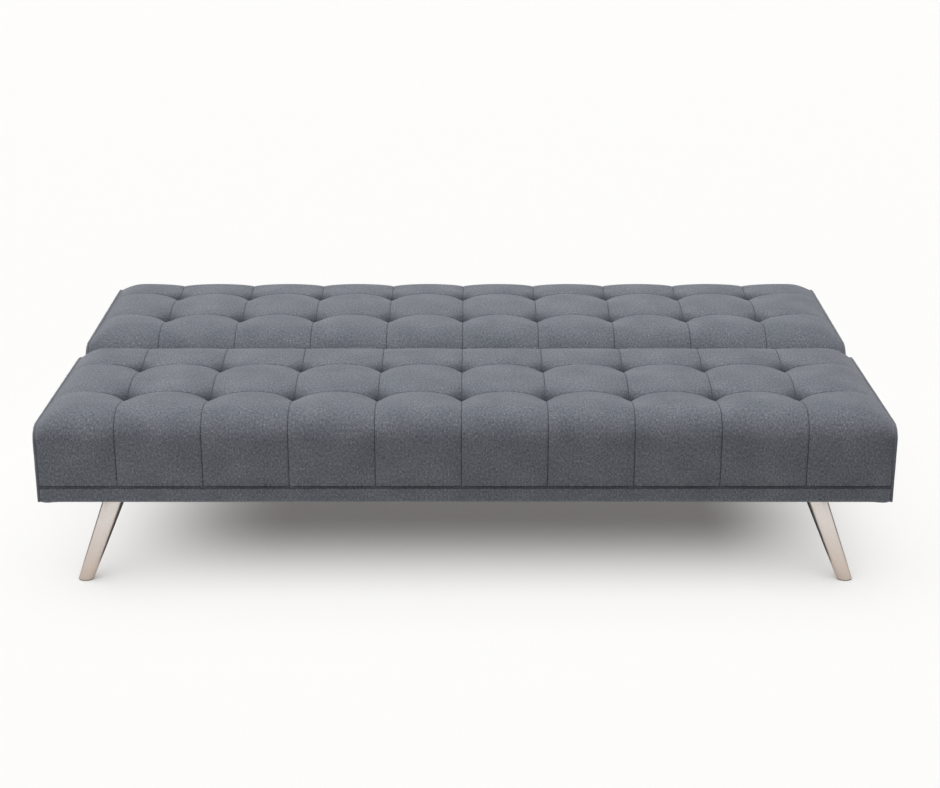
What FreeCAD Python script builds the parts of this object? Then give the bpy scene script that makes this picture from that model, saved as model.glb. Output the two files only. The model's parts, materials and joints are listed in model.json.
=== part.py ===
import FreeCAD, Part
import math
import os

# Futon sofa bed, stored flat as a bed. Millimetres. X runs along the bed, +Y to the back, +Z up.
# The origin is at the middle of the footprint, on the floor.
# A seat module stands on a steel sub-frame with four splayed legs. A back module hinges up from it
# on two ratchet hinges, one at each end, whose shared axis lies in the valley between the pads.

V = FreeCAD.Vector

# Overall
DEPTH = 970.0
HEIGHT = 372.0
PANEL_X = 829.0          # end of the top covers, where the side panels are sewn on
PANEL_BULGE_X = 840.0    # widest point of the padded side panels
FRONT_Y = -DEPTH / 2
REAR_Y = DEPTH / 2

# Modules
SEAT_DEPTH = 500.0
MODULE_GAP = 6.0
SEAT_REAR_Y = FRONT_Y + SEAT_DEPTH
BACK_FRONT_Y = SEAT_REAR_Y + MODULE_GAP
SEAT_Z = 190.5           # underside of the seat module
BACK_Z = 235.0           # underside of the back module
BAND_TOP_Z = 224.4       # seam between the front band and the seat cover
SEAM_GAP = 0.6

# Upholstery
CLOTH = 1.5
FIT = 0.2                # between soft parts that touch
OUTER_ROLL = 50.0        # rounding of a pad's outer long edge
INNER_ROLL = 94.0        # rounding of a pad's long edge at the valley
END_ROLL = 28.0          # rounding of a pad's top at its ends
FRONT_WADDING = 6.0
REAR_WADDING = 4.0
FOAM_TOP_Z = 337.0
FOAM_OUTER_ROLL = 40.0
FOAM_INNER_ROLL = 50.0
FOAM_X = 825.0
PIPING_R = 3.0
PIPING_CORNER = 30.0
PANEL_LOW_X = 832.0
FELT = 1.8
DUST_COVER = 1.2

# Timber
TIMBER = 22.0
SEAT_RAIL_H = 60.0
BACK_RAIL_H = 48.0
CROSS_RAIL_H = 40.0
BLOCK_LEG = 60.0
BLOCK_H = 23.0
SEAT_RAIL_Z = SEAT_Z + 1.6
BACK_RAIL_Z = BACK_Z + 2.0
SEAT_RAIL_X = 803.0      # inner face of the seat's end rails
BACK_RAIL_X = 798.0      # inner face of the back's end rails, one hinge plate further in
SEAT_CROSS_X = (-661.0, -230.0, 230.0, 661.0)
BACK_CROSS_X = (-692.0, -230.0, 230.0, 692.0)

# Sinuous springs
SPRING_COUNT = 9
SPRING_PITCH = 168.0
SPRING_WIRE_R = 1.8
SPRING_HALF_W = 25.0
SPRING_LIFT = 4.4        # wire centre above the rail's top
CLIP_W = 14.0
CLIP_L = 16.0
CLIP_T = 1.2

# Steel sub-frame
CARRIER_X = 692.0
CARRIER_W = 40.0
CARRIER_H = 25.0
CARRIER_WALL = 2.0
CARRIER_Z = SEAT_Z + 2.0
CARRIER_FRONT_Y = -451.0
CARRIER_REAR_Y = 345.0
CARRIER_BOLT_Y = (-290.0, -170.0, -60.0)
CARRIER_BOLT_Z = CARRIER_Z + CARRIER_H / 2
CROSS_FACE_X = SEAT_CROSS_X[-1] - TIMBER / 2
PLUG_CAP = 2.0
PLUG_DEPTH = 12.0
CROSSBAR_Y = (300.0, 340.0)
BUMPER_Y = 240.0
BUMPER_R = 14.0
BUMPER_GAP = 0.3

# Legs
PLATE_T = 4.0
PLATE_X = 56.0
PLATE_Y = 84.0
PLATE_BOLT_X = 10.0
PLATE_BOLT_Y = 31.0
LEG_TOP_X = 695.0
LEG_FOOT_X = 766.0
FRONT_LEG_TOP_Y = -383.0
REAR_LEG_TOP_Y = 285.0
LEG_SPLAY_Y = 46.5
LEG_TOP_W = 46.5
LEG_FOOT_W = 31.0
LEG_OVAL = 0.72
LEG_WALL = 1.6
GLIDE_H = 2.0
GLIDE_SPIGOT = 14.0
GLIDE_INSET = 1.5

# Fasteners
M8_R = 4.0
M8_AF = 13.0
M8_HEAD = 5.3
M6_R = 3.0
M6_HEAD_R = 6.0
M6_HEAD = 3.4
HOLE_CLEARANCE = 0.3
NUT_H = 6.5

# Hinge: layers along X from the inside out are pin head, back arm, washer, seat arm
PIVOT_Y = SEAT_REAR_Y + MODULE_GAP / 2
PIVOT_Z = 330.0
PIVOT = V(0, PIVOT_Y, PIVOT_Z)
SEAT_ARM_X = (799.0, 803.0)
BACK_ARM_X = (794.0, 798.0)
EYE_R = 10.0
PIN_R = 5.0
RUNNING_FIT = 0.05
PIN_HEAD_R = 8.0
PIN_HEAD_T = 3.5
WASHER_T = 0.5
SEAT_ARM_SCREW_Y = (-125.0, -78.0, -32.0)
SEAT_ARM_SCREW_Z = 238.0
BACK_ARM_SCREW_Y = (112.0, 162.0, 222.0)
BACK_ARM_SCREW_Z = 273.0
POCKET_R = 14.0          # clearance cut in the soft parts round the hinge pin
POCKET_X = 782.0         # the foam stops here at the hinges
SLOT_LOW_Z = PIVOT_Z - 55    # the slots in the covers' valley faces, for the hinge plates
SLOT_TOP_Z = PIVOT_Z + 16

# Ratchet and pawl: notches at flat, lounge, upright and the release position past upright
BACK_STOPS = (0.0, 35.0, 68.0, 80.0)
RATCHET_R = 46.0
NOTCH_R = 40.0
NOTCH_W = 6.4
PAWL_DIRECTION = -100.0  # where the pawl's tip meets the ratchet, degrees from +Y
PAWL_LENGTH = 38.0
PAWL_RADIUS = 52.0
PAWL_TIP_R = 47.2
PAWL_TIP_W = 4.6
PAWL_HUB_R = 8.5
PAWL_PIN_R = 4.0


def box(x0, x1, y0, y1, z0, z1):
    """A box between two corners."""
    return Part.makeBox(x1 - x0, y1 - y0, z1 - z0, V(x0, y0, z0))


def mirrored(shape):
    """The same part at the other end of the bed."""
    return shape.mirror(V(0, 0, 0), V(1, 0, 0))


def both_ends(shape):
    return [shape, mirrored(shape)]


def fused(shapes):
    return shapes[0].multiFuse(shapes[1:]).removeSplitter()


def save(name, shapes):
    """Write one node. A list of solids becomes one node of separate solids."""
    shape = Part.makeCompound(shapes) if isinstance(shapes, list) else shapes
    shape.exportStep("parts/" + name + ".step")


def hexagon(across_flats, centre, axis, height):
    """A hexagonal prism for bolt heads and nuts."""
    radius = across_flats / math.sqrt(3)
    corners = [V(radius * math.cos(math.radians(60 * i)), radius * math.sin(math.radians(60 * i)), 0)
               for i in range(7)]
    prism = Part.Face(Part.makePolygon(corners)).extrude(V(0, 0, height))
    prism.Placement = FreeCAD.Placement(centre, FreeCAD.Rotation(V(0, 0, 1), axis))
    return prism


def hex_bolt(seat, axis, length):
    """An M8 bolt: its head's underside is at seat, and its shank runs along axis."""
    head = hexagon(M8_AF, seat, axis * -1, M8_HEAD)
    return fused([head, Part.makeCylinder(M8_R, length, seat, axis)])


def pan_screw(seat, axis, length):
    """An M6 screw with a round head."""
    head = Part.makeCylinder(M6_HEAD_R, M6_HEAD, seat, axis * -1)
    return fused([head, Part.makeCylinder(M6_R, length, seat, axis)])


# Soft modules

def long_face(y0, y1, z0, z1, front_roll, rear_roll):
    """A pad's outline seen from the end: flat sides and bottom, rounded top edges."""
    front = V(0, y0 + front_roll, z1 - front_roll)
    rear = V(0, y1 - rear_roll, z1 - rear_roll)
    half = math.sqrt(0.5)
    a, b = V(0, y0, z0), V(0, y0, front.z)
    c, d = V(0, front.y, z1), V(0, rear.y, z1)
    e, f = V(0, y1, rear.z), V(0, y1, z0)
    edges = [
        Part.makeLine(a, b),
        Part.Arc(b, front + V(0, -half, half) * front_roll, c).toShape(),
        Part.makeLine(c, d),
        Part.Arc(d, rear + V(0, half, half) * rear_roll, e).toShape(),
        Part.makeLine(e, f),
        Part.makeLine(f, a),
    ]
    return Part.Face(Part.Wire(edges))


def cross_face(low_x, top_x, z0, z1, roll):
    """A pad's outline seen from the front, with rounded top ends that start in a step if low_x > top_x."""
    shoulder = z1 - roll
    half = math.sqrt(0.5)
    corners = [V(top_x, 0, shoulder), V(low_x, 0, shoulder), V(low_x, 0, z0),
               V(-low_x, 0, z0), V(-low_x, 0, shoulder), V(-top_x, 0, shoulder)]
    edges = [Part.makeLine(p, q) for p, q in zip(corners, corners[1:]) if p.distanceToPoint(q) > 1e-6]
    left, right = V(roll - top_x, 0, shoulder), V(top_x - roll, 0, shoulder)
    left_mid = left + V(-half, 0, half) * roll
    right_mid = right + V(half, 0, half) * roll
    edges.append(Part.Arc(V(-top_x, 0, shoulder), left_mid, V(left.x, 0, z1)).toShape())
    edges.append(Part.makeLine(V(left.x, 0, z1), V(right.x, 0, z1)))
    edges.append(Part.Arc(V(right.x, 0, z1), right_mid, V(top_x, 0, shoulder)).toShape())
    return Part.Face(Part.Wire(edges))


def pad_block(low_x, top_x, y0, y1, z0, z1, front_roll, rear_roll, end_roll):
    """A pad rounded along its long top edges and at its ends."""
    lengthways = long_face(y0, y1, z0, z1, front_roll, rear_roll)
    lengthways.translate(V(-low_x - 1, 0, 0))
    crossways = cross_face(low_x, top_x, z0 - 1, z1, end_roll)
    crossways.translate(V(0, y0 - 1, 0))
    return lengthways.extrude(V(2 * low_x + 2, 0, 0)).common(crossways.extrude(V(0, y1 - y0 + 2, 0)))


def cover(y0, y1, z0, front_roll, rear_roll):
    """The top cover: one cloth over the front, top and rear of a pad, open at the ends and below."""
    outer = pad_block(PANEL_X, PANEL_X, y0, y1, z0, HEIGHT, front_roll, rear_roll, END_ROLL)
    inner = pad_block(PANEL_X + 1, PANEL_X - CLOTH, y0 + CLOTH, y1 - CLOTH, z0 - 1, HEIGHT - CLOTH,
                      front_roll - CLOTH, rear_roll - CLOTH, END_ROLL - CLOTH)
    return outer.cut(inner)


def foam_block(y0, y1, z0, front_roll, rear_roll):
    """The foam: the top of a rounded pad, cut off flat at z0."""
    whole = pad_block(FOAM_X, FOAM_X, y0, y1, SEAT_Z, FOAM_TOP_Z, front_roll, rear_roll, END_ROLL - 4)
    return whole.common(box(-FOAM_X - 1, FOAM_X + 1, y0 - 1, y1 + 1, z0, HEIGHT))


def wadding(y0, y1, z0, foam_y, rolls, foam_rolls):
    """The polyester layer between foam and cover, wrapped down the front and rear of the frame."""
    skin = CLOTH + FIT
    outer = pad_block(PANEL_X - skin, PANEL_X - skin, y0 + skin, y1 - skin, z0, HEIGHT - skin,
                      rolls[0] - skin, rolls[1] - skin, END_ROLL - skin)
    inner = pad_block(PANEL_X, FOAM_X + FIT, foam_y[0] - FIT, foam_y[1] + FIT, z0 - 1, FOAM_TOP_Z + FIT,
                      *foam_rolls, END_ROLL - 4)
    return outer.cut(inner)


def side_arc(z0, z1, offset):
    """The bulge of a side panel seen from the front, offset inwards by a thickness."""
    return Part.Arc(V(PANEL_LOW_X - offset, 0, z0), V(PANEL_BULGE_X - offset, 0, (z0 + z1) / 2),
                    V(PANEL_LOW_X - offset, 0, z1)).toShape()


def end_prism(y0, y1, z0, thickness_from, z1):
    """The side panel's outline, inside the piping, as a prism across the panel's thickness."""
    inset = 2 * PIPING_R + 0.4
    face = long_face(y0 + inset, y1 - inset, z0, z1, PIPING_CORNER - inset, PIPING_CORNER - inset)
    face.translate(V(thickness_from, 0, 0))
    return face.extrude(V(PANEL_BULGE_X - thickness_from + 1, 0, 0))


def side_layer(y0, y1, z0, outer_edge, inner_edge):
    """The solid between two curves seen from the front, cut to the side panel's outline."""
    ends = [(outer_edge.Vertexes[i].Point, inner_edge.Vertexes[i].Point) for i in (0, -1)]
    links = [Part.makeLine(p, q) for p, q in ends]
    section = Part.Face(Part.Wire(Part.__sortEdges__([outer_edge, inner_edge] + links)))
    section.translate(V(0, y0, 0))
    top = HEIGHT - END_ROLL - 2 * PIPING_R
    return section.extrude(V(0, y1 - y0, 0)).common(end_prism(y0, y1, z0, PANEL_X, top))


def side_panel(y0, y1, z0):
    top = HEIGHT - END_ROLL
    return side_layer(y0, y1, z0, side_arc(z0, top, 0), side_arc(z0, top, CLOTH))


def side_padding(y0, y1, z0):
    top = HEIGHT - END_ROLL
    flat = Part.makeLine(V(PANEL_X + FIT, 0, z0), V(PANEL_X + FIT, 0, top))
    return side_layer(y0, y1, z0, side_arc(z0, top, CLOTH + FIT), flat)


def piping(y0, y1, z0):
    """The piping cord round a module's end: up the front edge, along the top and down the rear."""
    x = PANEL_X + PIPING_R + 0.1
    inset = PIPING_R
    top = HEIGHT - END_ROLL - PIPING_R
    corner = PIPING_CORNER - inset
    outline = long_face(y0 + inset, y1 - inset, z0, top, corner, corner)
    outline.translate(V(x, 0, 0))
    path = Part.Wire(Part.__sortEdges__([e for e in outline.OuterWire.Edges if e.CenterOfMass.z > z0 + 1]))
    start = V(x, y0 + inset, z0)
    profile = Part.Wire(Part.makeCircle(PIPING_R, start, V(0, 0, 1)))
    return path.makePipeShell([profile], True, False)


# Frame

def end_rail(x_inner, y0, y1, z0, height):
    return box(x_inner, x_inner + TIMBER, y0, y1, z0, z0 + height)


def corner_blocks(x_inner, y0, y1, z0):
    """Triangular glue blocks in the four inner corners of a frame."""
    blocks = []
    for y, sign in ((y0, 1), (y1, -1)):
        corners = [V(x_inner, y, z0), V(x_inner - BLOCK_LEG, y, z0), V(x_inner, y + sign * BLOCK_LEG, z0)]
        face = Part.Face(Part.makePolygon(corners + corners[:1]))
        blocks += both_ends(face.extrude(V(0, 0, BLOCK_H)))
    return blocks


def sinuous_spring(y0, y1, z):
    """A zigzag spring: straight runs across the spring joined by half turns."""
    runs = 2 * round((y1 - y0) / 48) + 1
    pitch = (y1 - y0) / runs
    radius = pitch / 2
    reach = SPRING_HALF_W - radius
    edges = []
    side = -1
    for i in range(runs + 1):
        y = y0 + i * pitch
        edges.append(Part.makeLine(V(side * reach, y, z), V(-side * reach, y, z)))
        side = -side
        if i < runs:
            turn = [V(side * reach, y, z), V(side * (reach + radius), y + radius, z), V(side * reach, y + pitch, z)]
            edges.append(Part.Arc(*turn).toShape())
    profile = Part.Wire(Part.makeCircle(SPRING_WIRE_R, V(-reach, y0, z), V(1, 0, 0)))
    return Part.Wire(edges).makePipeShell([profile], True, False)


def spring_clip(y, opening, rail_top):
    """A folded clip that holds a spring's end wire down on the rail; opening is +1 or -1 along Y."""
    back = -opening
    y0, y1 = sorted((y + back * (SPRING_WIRE_R + 1.6), y + opening * (CLIP_L - 6)))
    wall = sorted((y + back * (SPRING_WIRE_R + 0.4), y + back * (SPRING_WIRE_R + 0.4 + CLIP_T)))
    over = rail_top + SPRING_LIFT + SPRING_WIRE_R + 0.2
    under = rail_top + CLIP_T
    half = CLIP_W / 2
    return fused([
        box(-half, half, y0, y1, rail_top, under),
        box(-half, half, y0, y1, over, over + CLIP_T),
        box(-half, half, wall[0], wall[1], rail_top, over + CLIP_T),
    ])


def spring_row(y0, y1, rail_top):
    """All the springs of a module, and the clips at both ends of each."""
    spring = sinuous_spring(y0, y1, rail_top + SPRING_LIFT)
    clips = [spring_clip(y0, 1, rail_top), spring_clip(y1, -1, rail_top)]
    springs, holders = [], []
    for i in range(SPRING_COUNT):
        shift = V((i - (SPRING_COUNT - 1) / 2) * SPRING_PITCH, 0, 0)
        springs.append(spring.translated(shift))
        holders += [c.translated(shift) for c in clips]
    return springs, holders


# Hinge

def polar(radius, degrees, x=0.0):
    """A point at an angle from +Y about the hinge axis."""
    a = math.radians(degrees)
    return V(x, PIVOT_Y + radius * math.cos(a), PIVOT_Z + radius * math.sin(a))


def pawl_point(outward, along, x=0.0):
    """A point beside the pawl's tip: outward from the hinge axis, and along the tooth circle."""
    a = math.radians(PAWL_DIRECTION)
    radial = V(0, math.cos(a), math.sin(a))
    tangent = V(0, -math.sin(a), math.cos(a))
    return V(x, PIVOT_Y, PIVOT_Z) + radial * outward + tangent * along


PAWL_PIVOT = pawl_point(PAWL_RADIUS, -PAWL_LENGTH)


def plate(points, layer):
    """A flat steel plate cut to an outline in the plane of the hinge."""
    outline = [V(layer[0], p.y, p.z) for p in points]
    return Part.Face(Part.makePolygon(outline + outline[:1])).extrude(V(layer[1] - layer[0], 0, 0))


def disc(radius, centre, layer):
    return Part.makeCylinder(radius, layer[1] - layer[0], V(layer[0], centre.y, centre.z), V(1, 0, 0))


def seat_arm():
    """The fixed hinge plate: screwed to the seat's end rail, it rises to the pin and carries the pawl."""
    outline = [V(0, 11, PIVOT_Z + 7), V(0, -44, PIVOT_Z - 23), V(0, -44, 262), V(0, -140, 252),
               V(0, -140, 222), V(0, -16, 222), V(0, -16, 262), V(0, 6, 290), V(0, 14, PIVOT_Z - 19), PIVOT]
    arm = fused([plate(outline, SEAT_ARM_X), disc(EYE_R, PIVOT, SEAT_ARM_X)])
    arm = arm.cut(disc(PIN_R, PIVOT, SEAT_ARM_X)).cut(disc(PAWL_PIN_R, PAWL_PIVOT, SEAT_ARM_X))
    for y in SEAT_ARM_SCREW_Y:
        arm = arm.cut(disc(M6_R + HOLE_CLEARANCE, V(0, y, SEAT_ARM_SCREW_Z), SEAT_ARM_X))
    return arm


def back_arm():
    """The moving hinge plate: a toothed sector below the pin, and an arm screwed to the back's end rail."""
    arm_outline = [PIVOT, V(0, 25, PIVOT_Z + 6), V(0, 72, PIVOT_Z - 13), V(0, 96, 284), V(0, 240, 284),
                   V(0, 240, 262), V(0, 54, 262), V(0, 54, 286), V(0, 12, PIVOT_Z - 8)]
    first = PAWL_DIRECTION - BACK_STOPS[-1] - 8
    last = PAWL_DIRECTION + 7
    rim = [polar(RATCHET_R, first + (last - first) * i / 24) for i in range(25)]
    arm = fused([plate(arm_outline, BACK_ARM_X), plate([PIVOT] + rim, BACK_ARM_X),
                 disc(EYE_R, PIVOT, BACK_ARM_X)])
    for stop in BACK_STOPS:
        notch = plate([pawl_point(NOTCH_R, -NOTCH_W / 2), pawl_point(NOTCH_R, NOTCH_W / 2),
                       pawl_point(RATCHET_R + 2, NOTCH_W / 2 + 0.6),
                       pawl_point(RATCHET_R + 2, -NOTCH_W / 2 - 0.6)], BACK_ARM_X)
        notch.rotate(PIVOT, V(1, 0, 0), -stop)
        arm = arm.cut(notch)
    arm = arm.cut(disc(PIN_R + RUNNING_FIT, PIVOT, BACK_ARM_X))
    for y in BACK_ARM_SCREW_Y:
        arm = arm.cut(disc(M6_R + HOLE_CLEARANCE, V(0, y, BACK_ARM_SCREW_Z), BACK_ARM_X))
    return arm


def pawl():
    """The pawl, lifted clear of the teeth: a hub, a strut and a tip that drops into a notch."""
    half = PAWL_TIP_W / 2
    outline = [
        pawl_point(PAWL_TIP_R, -half),
        pawl_point(PAWL_TIP_R, half),
        pawl_point(PAWL_RADIUS + 4, half),
        pawl_point(PAWL_RADIUS + 7, -8),
        pawl_point(PAWL_RADIUS + 7, -PAWL_LENGTH),
        pawl_point(PAWL_RADIUS - 7, -PAWL_LENGTH),
        pawl_point(PAWL_RADIUS - 1, -8),
        pawl_point(PAWL_RADIUS - 0.3, -half),
    ]
    body = fused([plate(outline, BACK_ARM_X), disc(PAWL_HUB_R, PAWL_PIVOT, BACK_ARM_X)])
    return body.cut(disc(PAWL_PIN_R + RUNNING_FIT, PAWL_PIVOT, BACK_ARM_X))


def headed_pin(radius, centre, head_r, tail_r):
    """A shouldered pin through both plate layers, with a head inside and a riveted tail outside."""
    inner = BACK_ARM_X[0] - 0.3
    outer = SEAT_ARM_X[1]
    return fused([
        disc(head_r, centre, (inner - PIN_HEAD_T, inner)),
        disc(radius, centre, (inner - PIN_HEAD_T, outer + 2)),
        disc(tail_r, centre, (outer, outer + 2)),
    ])


def spacer(radius, centre):
    """A thin washer that keeps the moving plate off the fixed one."""
    gap = SEAT_ARM_X[0] - BACK_ARM_X[1]
    layer = (SEAT_ARM_X[0] - (gap + WASHER_T) / 2, SEAT_ARM_X[0] - (gap - WASHER_T) / 2)
    return disc(radius + 4, centre, layer).cut(disc(radius + 0.02, centre, layer))


def pawl_stop():
    """The stud under the pawl that it rests on when it is clear of the teeth."""
    centre = pawl_point(PAWL_RADIUS + 10.4, -18)
    return disc(3.0, centre, (BACK_ARM_X[0], SEAT_ARM_X[0]))


def pawl_spring():
    """A bent leaf spring from its rivet to the pawl's underside."""
    points = [pawl_point(PAWL_RADIUS + 15, -50), pawl_point(PAWL_RADIUS + 15, -38),
              pawl_point(PAWL_RADIUS + 7.6, -30), pawl_point(PAWL_RADIUS + 7.6, -23)]
    lower = [p + pawl_point(0.8, 0) - PIVOT for p in reversed(points)]
    rivet = pawl_point(PAWL_RADIUS + 18, -46)
    return fused([plate(points + lower, BACK_ARM_X), disc(2.6, rivet, (BACK_ARM_X[0], SEAT_ARM_X[0]))])


def hinge_pockets(shape, y_range, z_range, slot_y, slot_z):
    """Room for the hinge plates in a soft part: a pocket at each end, a slot, and a hollow round the pin."""
    cuts = [box(POCKET_X, PANEL_X + 5, y_range[0], y_range[1], z_range[0], z_range[1])] if y_range else []
    cuts.append(box(BACK_ARM_X[0] - 6, SEAT_ARM_X[1] + 3, slot_y[0], slot_y[1], slot_z[0], slot_z[1]))
    cuts.append(disc(POCKET_R, PIVOT, (BACK_ARM_X[0] - 8, SEAT_ARM_X[1] + 5)))
    for cut in cuts:
        for tool in both_ends(cut):
            shape = shape.cut(tool)
    return shape


# Sub-frame

def tube_along_y(x, width, y0, y1, z0, height):
    outer = box(x - width / 2, x + width / 2, y0, y1, z0, z0 + height)
    w = CARRIER_WALL
    inner = box(x - width / 2 + w, x + width / 2 - w, y0 - 1, y1 + 1, z0 + w, z0 + height - w)
    return outer.cut(inner)


def leg_bolt_places():
    """Bolt centres of the right-hand front and rear leg plates."""
    for top_y in (FRONT_LEG_TOP_Y, REAR_LEG_TOP_Y):
        for dx in (-PLATE_BOLT_X, PLATE_BOLT_X):
            for dy in (-PLATE_BOLT_Y, PLATE_BOLT_Y):
                yield V(CARRIER_X + dx, top_y + dy, 0)


def carrier():
    """The right-hand side tube of the sub-frame, drilled for the leg bolts and the frame bolts."""
    tube = tube_along_y(CARRIER_X, CARRIER_W, CARRIER_FRONT_Y, CARRIER_REAR_Y, CARRIER_Z, CARRIER_H)
    for place in leg_bolt_places():
        start = V(place.x, place.y, CARRIER_Z - 1)
        tube = tube.cut(Part.makeCylinder(M8_R + HOLE_CLEARANCE, CARRIER_WALL + 2, start))
    for y in CARRIER_BOLT_Y:
        start = V(CARRIER_X - CARRIER_W, y, CARRIER_BOLT_Z)
        tube = tube.cut(Part.makeCylinder(M8_R + HOLE_CLEARANCE, 2 * CARRIER_W, start, V(1, 0, 0)))
    return tube


def end_plug(y, direction):
    """A plastic plug in the end of a carrier; direction points out of the tube."""
    w = CARRIER_WALL + 0.1
    cap = sorted((y, y + direction * PLUG_CAP))
    stem = sorted((y, y - direction * PLUG_DEPTH))
    x0, x1 = CARRIER_X - CARRIER_W / 2, CARRIER_X + CARRIER_W / 2
    z0, z1 = CARRIER_Z, CARRIER_Z + CARRIER_H
    return fused([box(x0, x1, cap[0], cap[1], z0, z1), box(x0 + w, x1 - w, stem[0], stem[1], z0 + w, z1 - w)])


def leg_section(z, splay, shrink):
    """A leg's oval outline at a height, leaning out and away from the middle of the bed."""
    t = (CARRIER_Z - PLATE_T - z) / (CARRIER_Z - PLATE_T)
    top_y = FRONT_LEG_TOP_Y if splay < 0 else REAR_LEG_TOP_Y
    centre = V(LEG_TOP_X + t * (LEG_FOOT_X - LEG_TOP_X), top_y + splay * t * LEG_SPLAY_Y, z)
    half_w = (LEG_TOP_W + t * (LEG_FOOT_W - LEG_TOP_W)) / 2
    ellipse = Part.Ellipse(centre, half_w - shrink, half_w * LEG_OVAL - shrink)
    return Part.Wire(ellipse.toShape())


def leg_loft(z0, z1, splay, shrink):
    return Part.makeLoft([leg_section(z0, splay, shrink), leg_section(z1, splay, shrink)], True, True)


def leg(splay):
    """A hollow tapered leg from the plate down to the glide."""
    top = CARRIER_Z - PLATE_T
    shell = leg_loft(GLIDE_H, top, splay, 0)
    return shell.cut(leg_loft(GLIDE_H, top, splay, LEG_WALL))


def glide(splay):
    """A plastic glide that plugs the foot of a leg and stands on the floor."""
    foot = leg_loft(0, GLIDE_H, splay, GLIDE_INSET)
    spigot = leg_loft(GLIDE_H, GLIDE_SPIGOT, splay, LEG_WALL + 0.1)
    return fused([foot, spigot])


def leg_plate(top_y):
    plate_z = CARRIER_Z - PLATE_T
    blank = box(CARRIER_X - PLATE_X / 2, CARRIER_X + PLATE_X / 2,
                top_y - PLATE_Y / 2, top_y + PLATE_Y / 2, plate_z, CARRIER_Z)
    for place in leg_bolt_places():
        start = V(place.x, place.y, plate_z - 1)
        blank = blank.cut(Part.makeCylinder(M8_R + HOLE_CLEARANCE, PLATE_T + 2, start))
    return blank


def weld_nut(place):
    """A hexagonal nut on the inside of the carrier's lower wall."""
    seat = V(place.x, place.y, CARRIER_Z + CARRIER_WALL)
    nut = hexagon(M8_AF, seat, V(0, 0, 1), NUT_H)
    return nut.cut(Part.makeCylinder(M8_R + 0.05, NUT_H, seat))


def build_seat_upholstery():
    y0, y1 = FRONT_Y, SEAT_REAR_Y
    foam_y = (y0 + CLOTH + FRONT_WADDING, y1 - CLOTH - REAR_WADDING)
    springs_top = SEAT_RAIL_Z + SEAT_RAIL_H + SPRING_LIFT + SPRING_WIRE_R + 0.2 + CLIP_T
    foam_z = springs_top + FIT + FELT + FIT

    pocket = ((-48, y1 + 1), (springs_top - 2, SLOT_TOP_Z))
    slot = ((-12, y1 + 1), (SLOT_LOW_Z, SLOT_TOP_Z))

    seat_cover = cover(y0, y1, SEAT_Z, OUTER_ROLL, INNER_ROLL)
    band_place = box(-PANEL_X - 1, PANEL_X + 1, y0 - 1, y0 + 5, SEAT_Z - 1, BAND_TOP_Z + SEAM_GAP)
    seat_cover = seat_cover.cut(band_place)
    seat_cover = hinge_pockets(seat_cover, None, None, *slot)
    fill = wadding(y0, y1, SEAT_RAIL_Z, foam_y, (OUTER_ROLL, INNER_ROLL),
                   (FOAM_OUTER_ROLL, FOAM_INNER_ROLL))
    fill = hinge_pockets(fill, *pocket, *slot)
    for tool in both_ends(box(CARRIER_X - CARRIER_W / 2 - 2, CARRIER_X + CARRIER_W / 2 + 2,
                              foam_y[1] - TIMBER - 1, y1 + 1, SEAT_Z - 1, CARRIER_Z + CARRIER_H + 2)):
        seat_cover = seat_cover.cut(tool)
        fill = fill.cut(tool)
    foam = hinge_pockets(foam_block(*foam_y, foam_z, FOAM_OUTER_ROLL, FOAM_INNER_ROLL), *pocket, *slot)

    save("seat_cover", seat_cover)
    save("seat_wadding", fill)
    save("seat_foam", foam)
    save("seat_felt", box(-POCKET_X + 2, POCKET_X - 2, foam_y[0] + 2, foam_y[1] - 2,
                          springs_top + FIT, springs_top + FIT + FELT))
    save("seat_front_band", box(-PANEL_X, PANEL_X, y0, y0 + CLOTH, SEAT_Z, BAND_TOP_Z))
    save("seat_side_panels", both_ends(side_panel(y0, y1, SEAT_Z)))
    save("seat_piping", both_ends(piping(y0, y1, SEAT_Z)))
    save("seat_side_padding", both_ends(side_padding(y0, y1, SEAT_Z)))
    dust = box(-FOAM_X, FOAM_X, foam_y[0], foam_y[1], SEAT_RAIL_Z - 0.2 - DUST_COVER, SEAT_RAIL_Z - 0.2)
    for tool in both_ends(box(CARRIER_X - PLATE_X / 2 - 1, CARRIER_X + PLATE_X / 2 + 1,
                              FRONT_LEG_TOP_Y - PLATE_Y / 2 - 1, FRONT_LEG_TOP_Y + PLATE_Y / 2 + 1,
                              SEAT_Z - 5, SEAT_Z + 5)):
        dust = dust.cut(tool)
    save("seat_dust_cover", dust)


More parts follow.
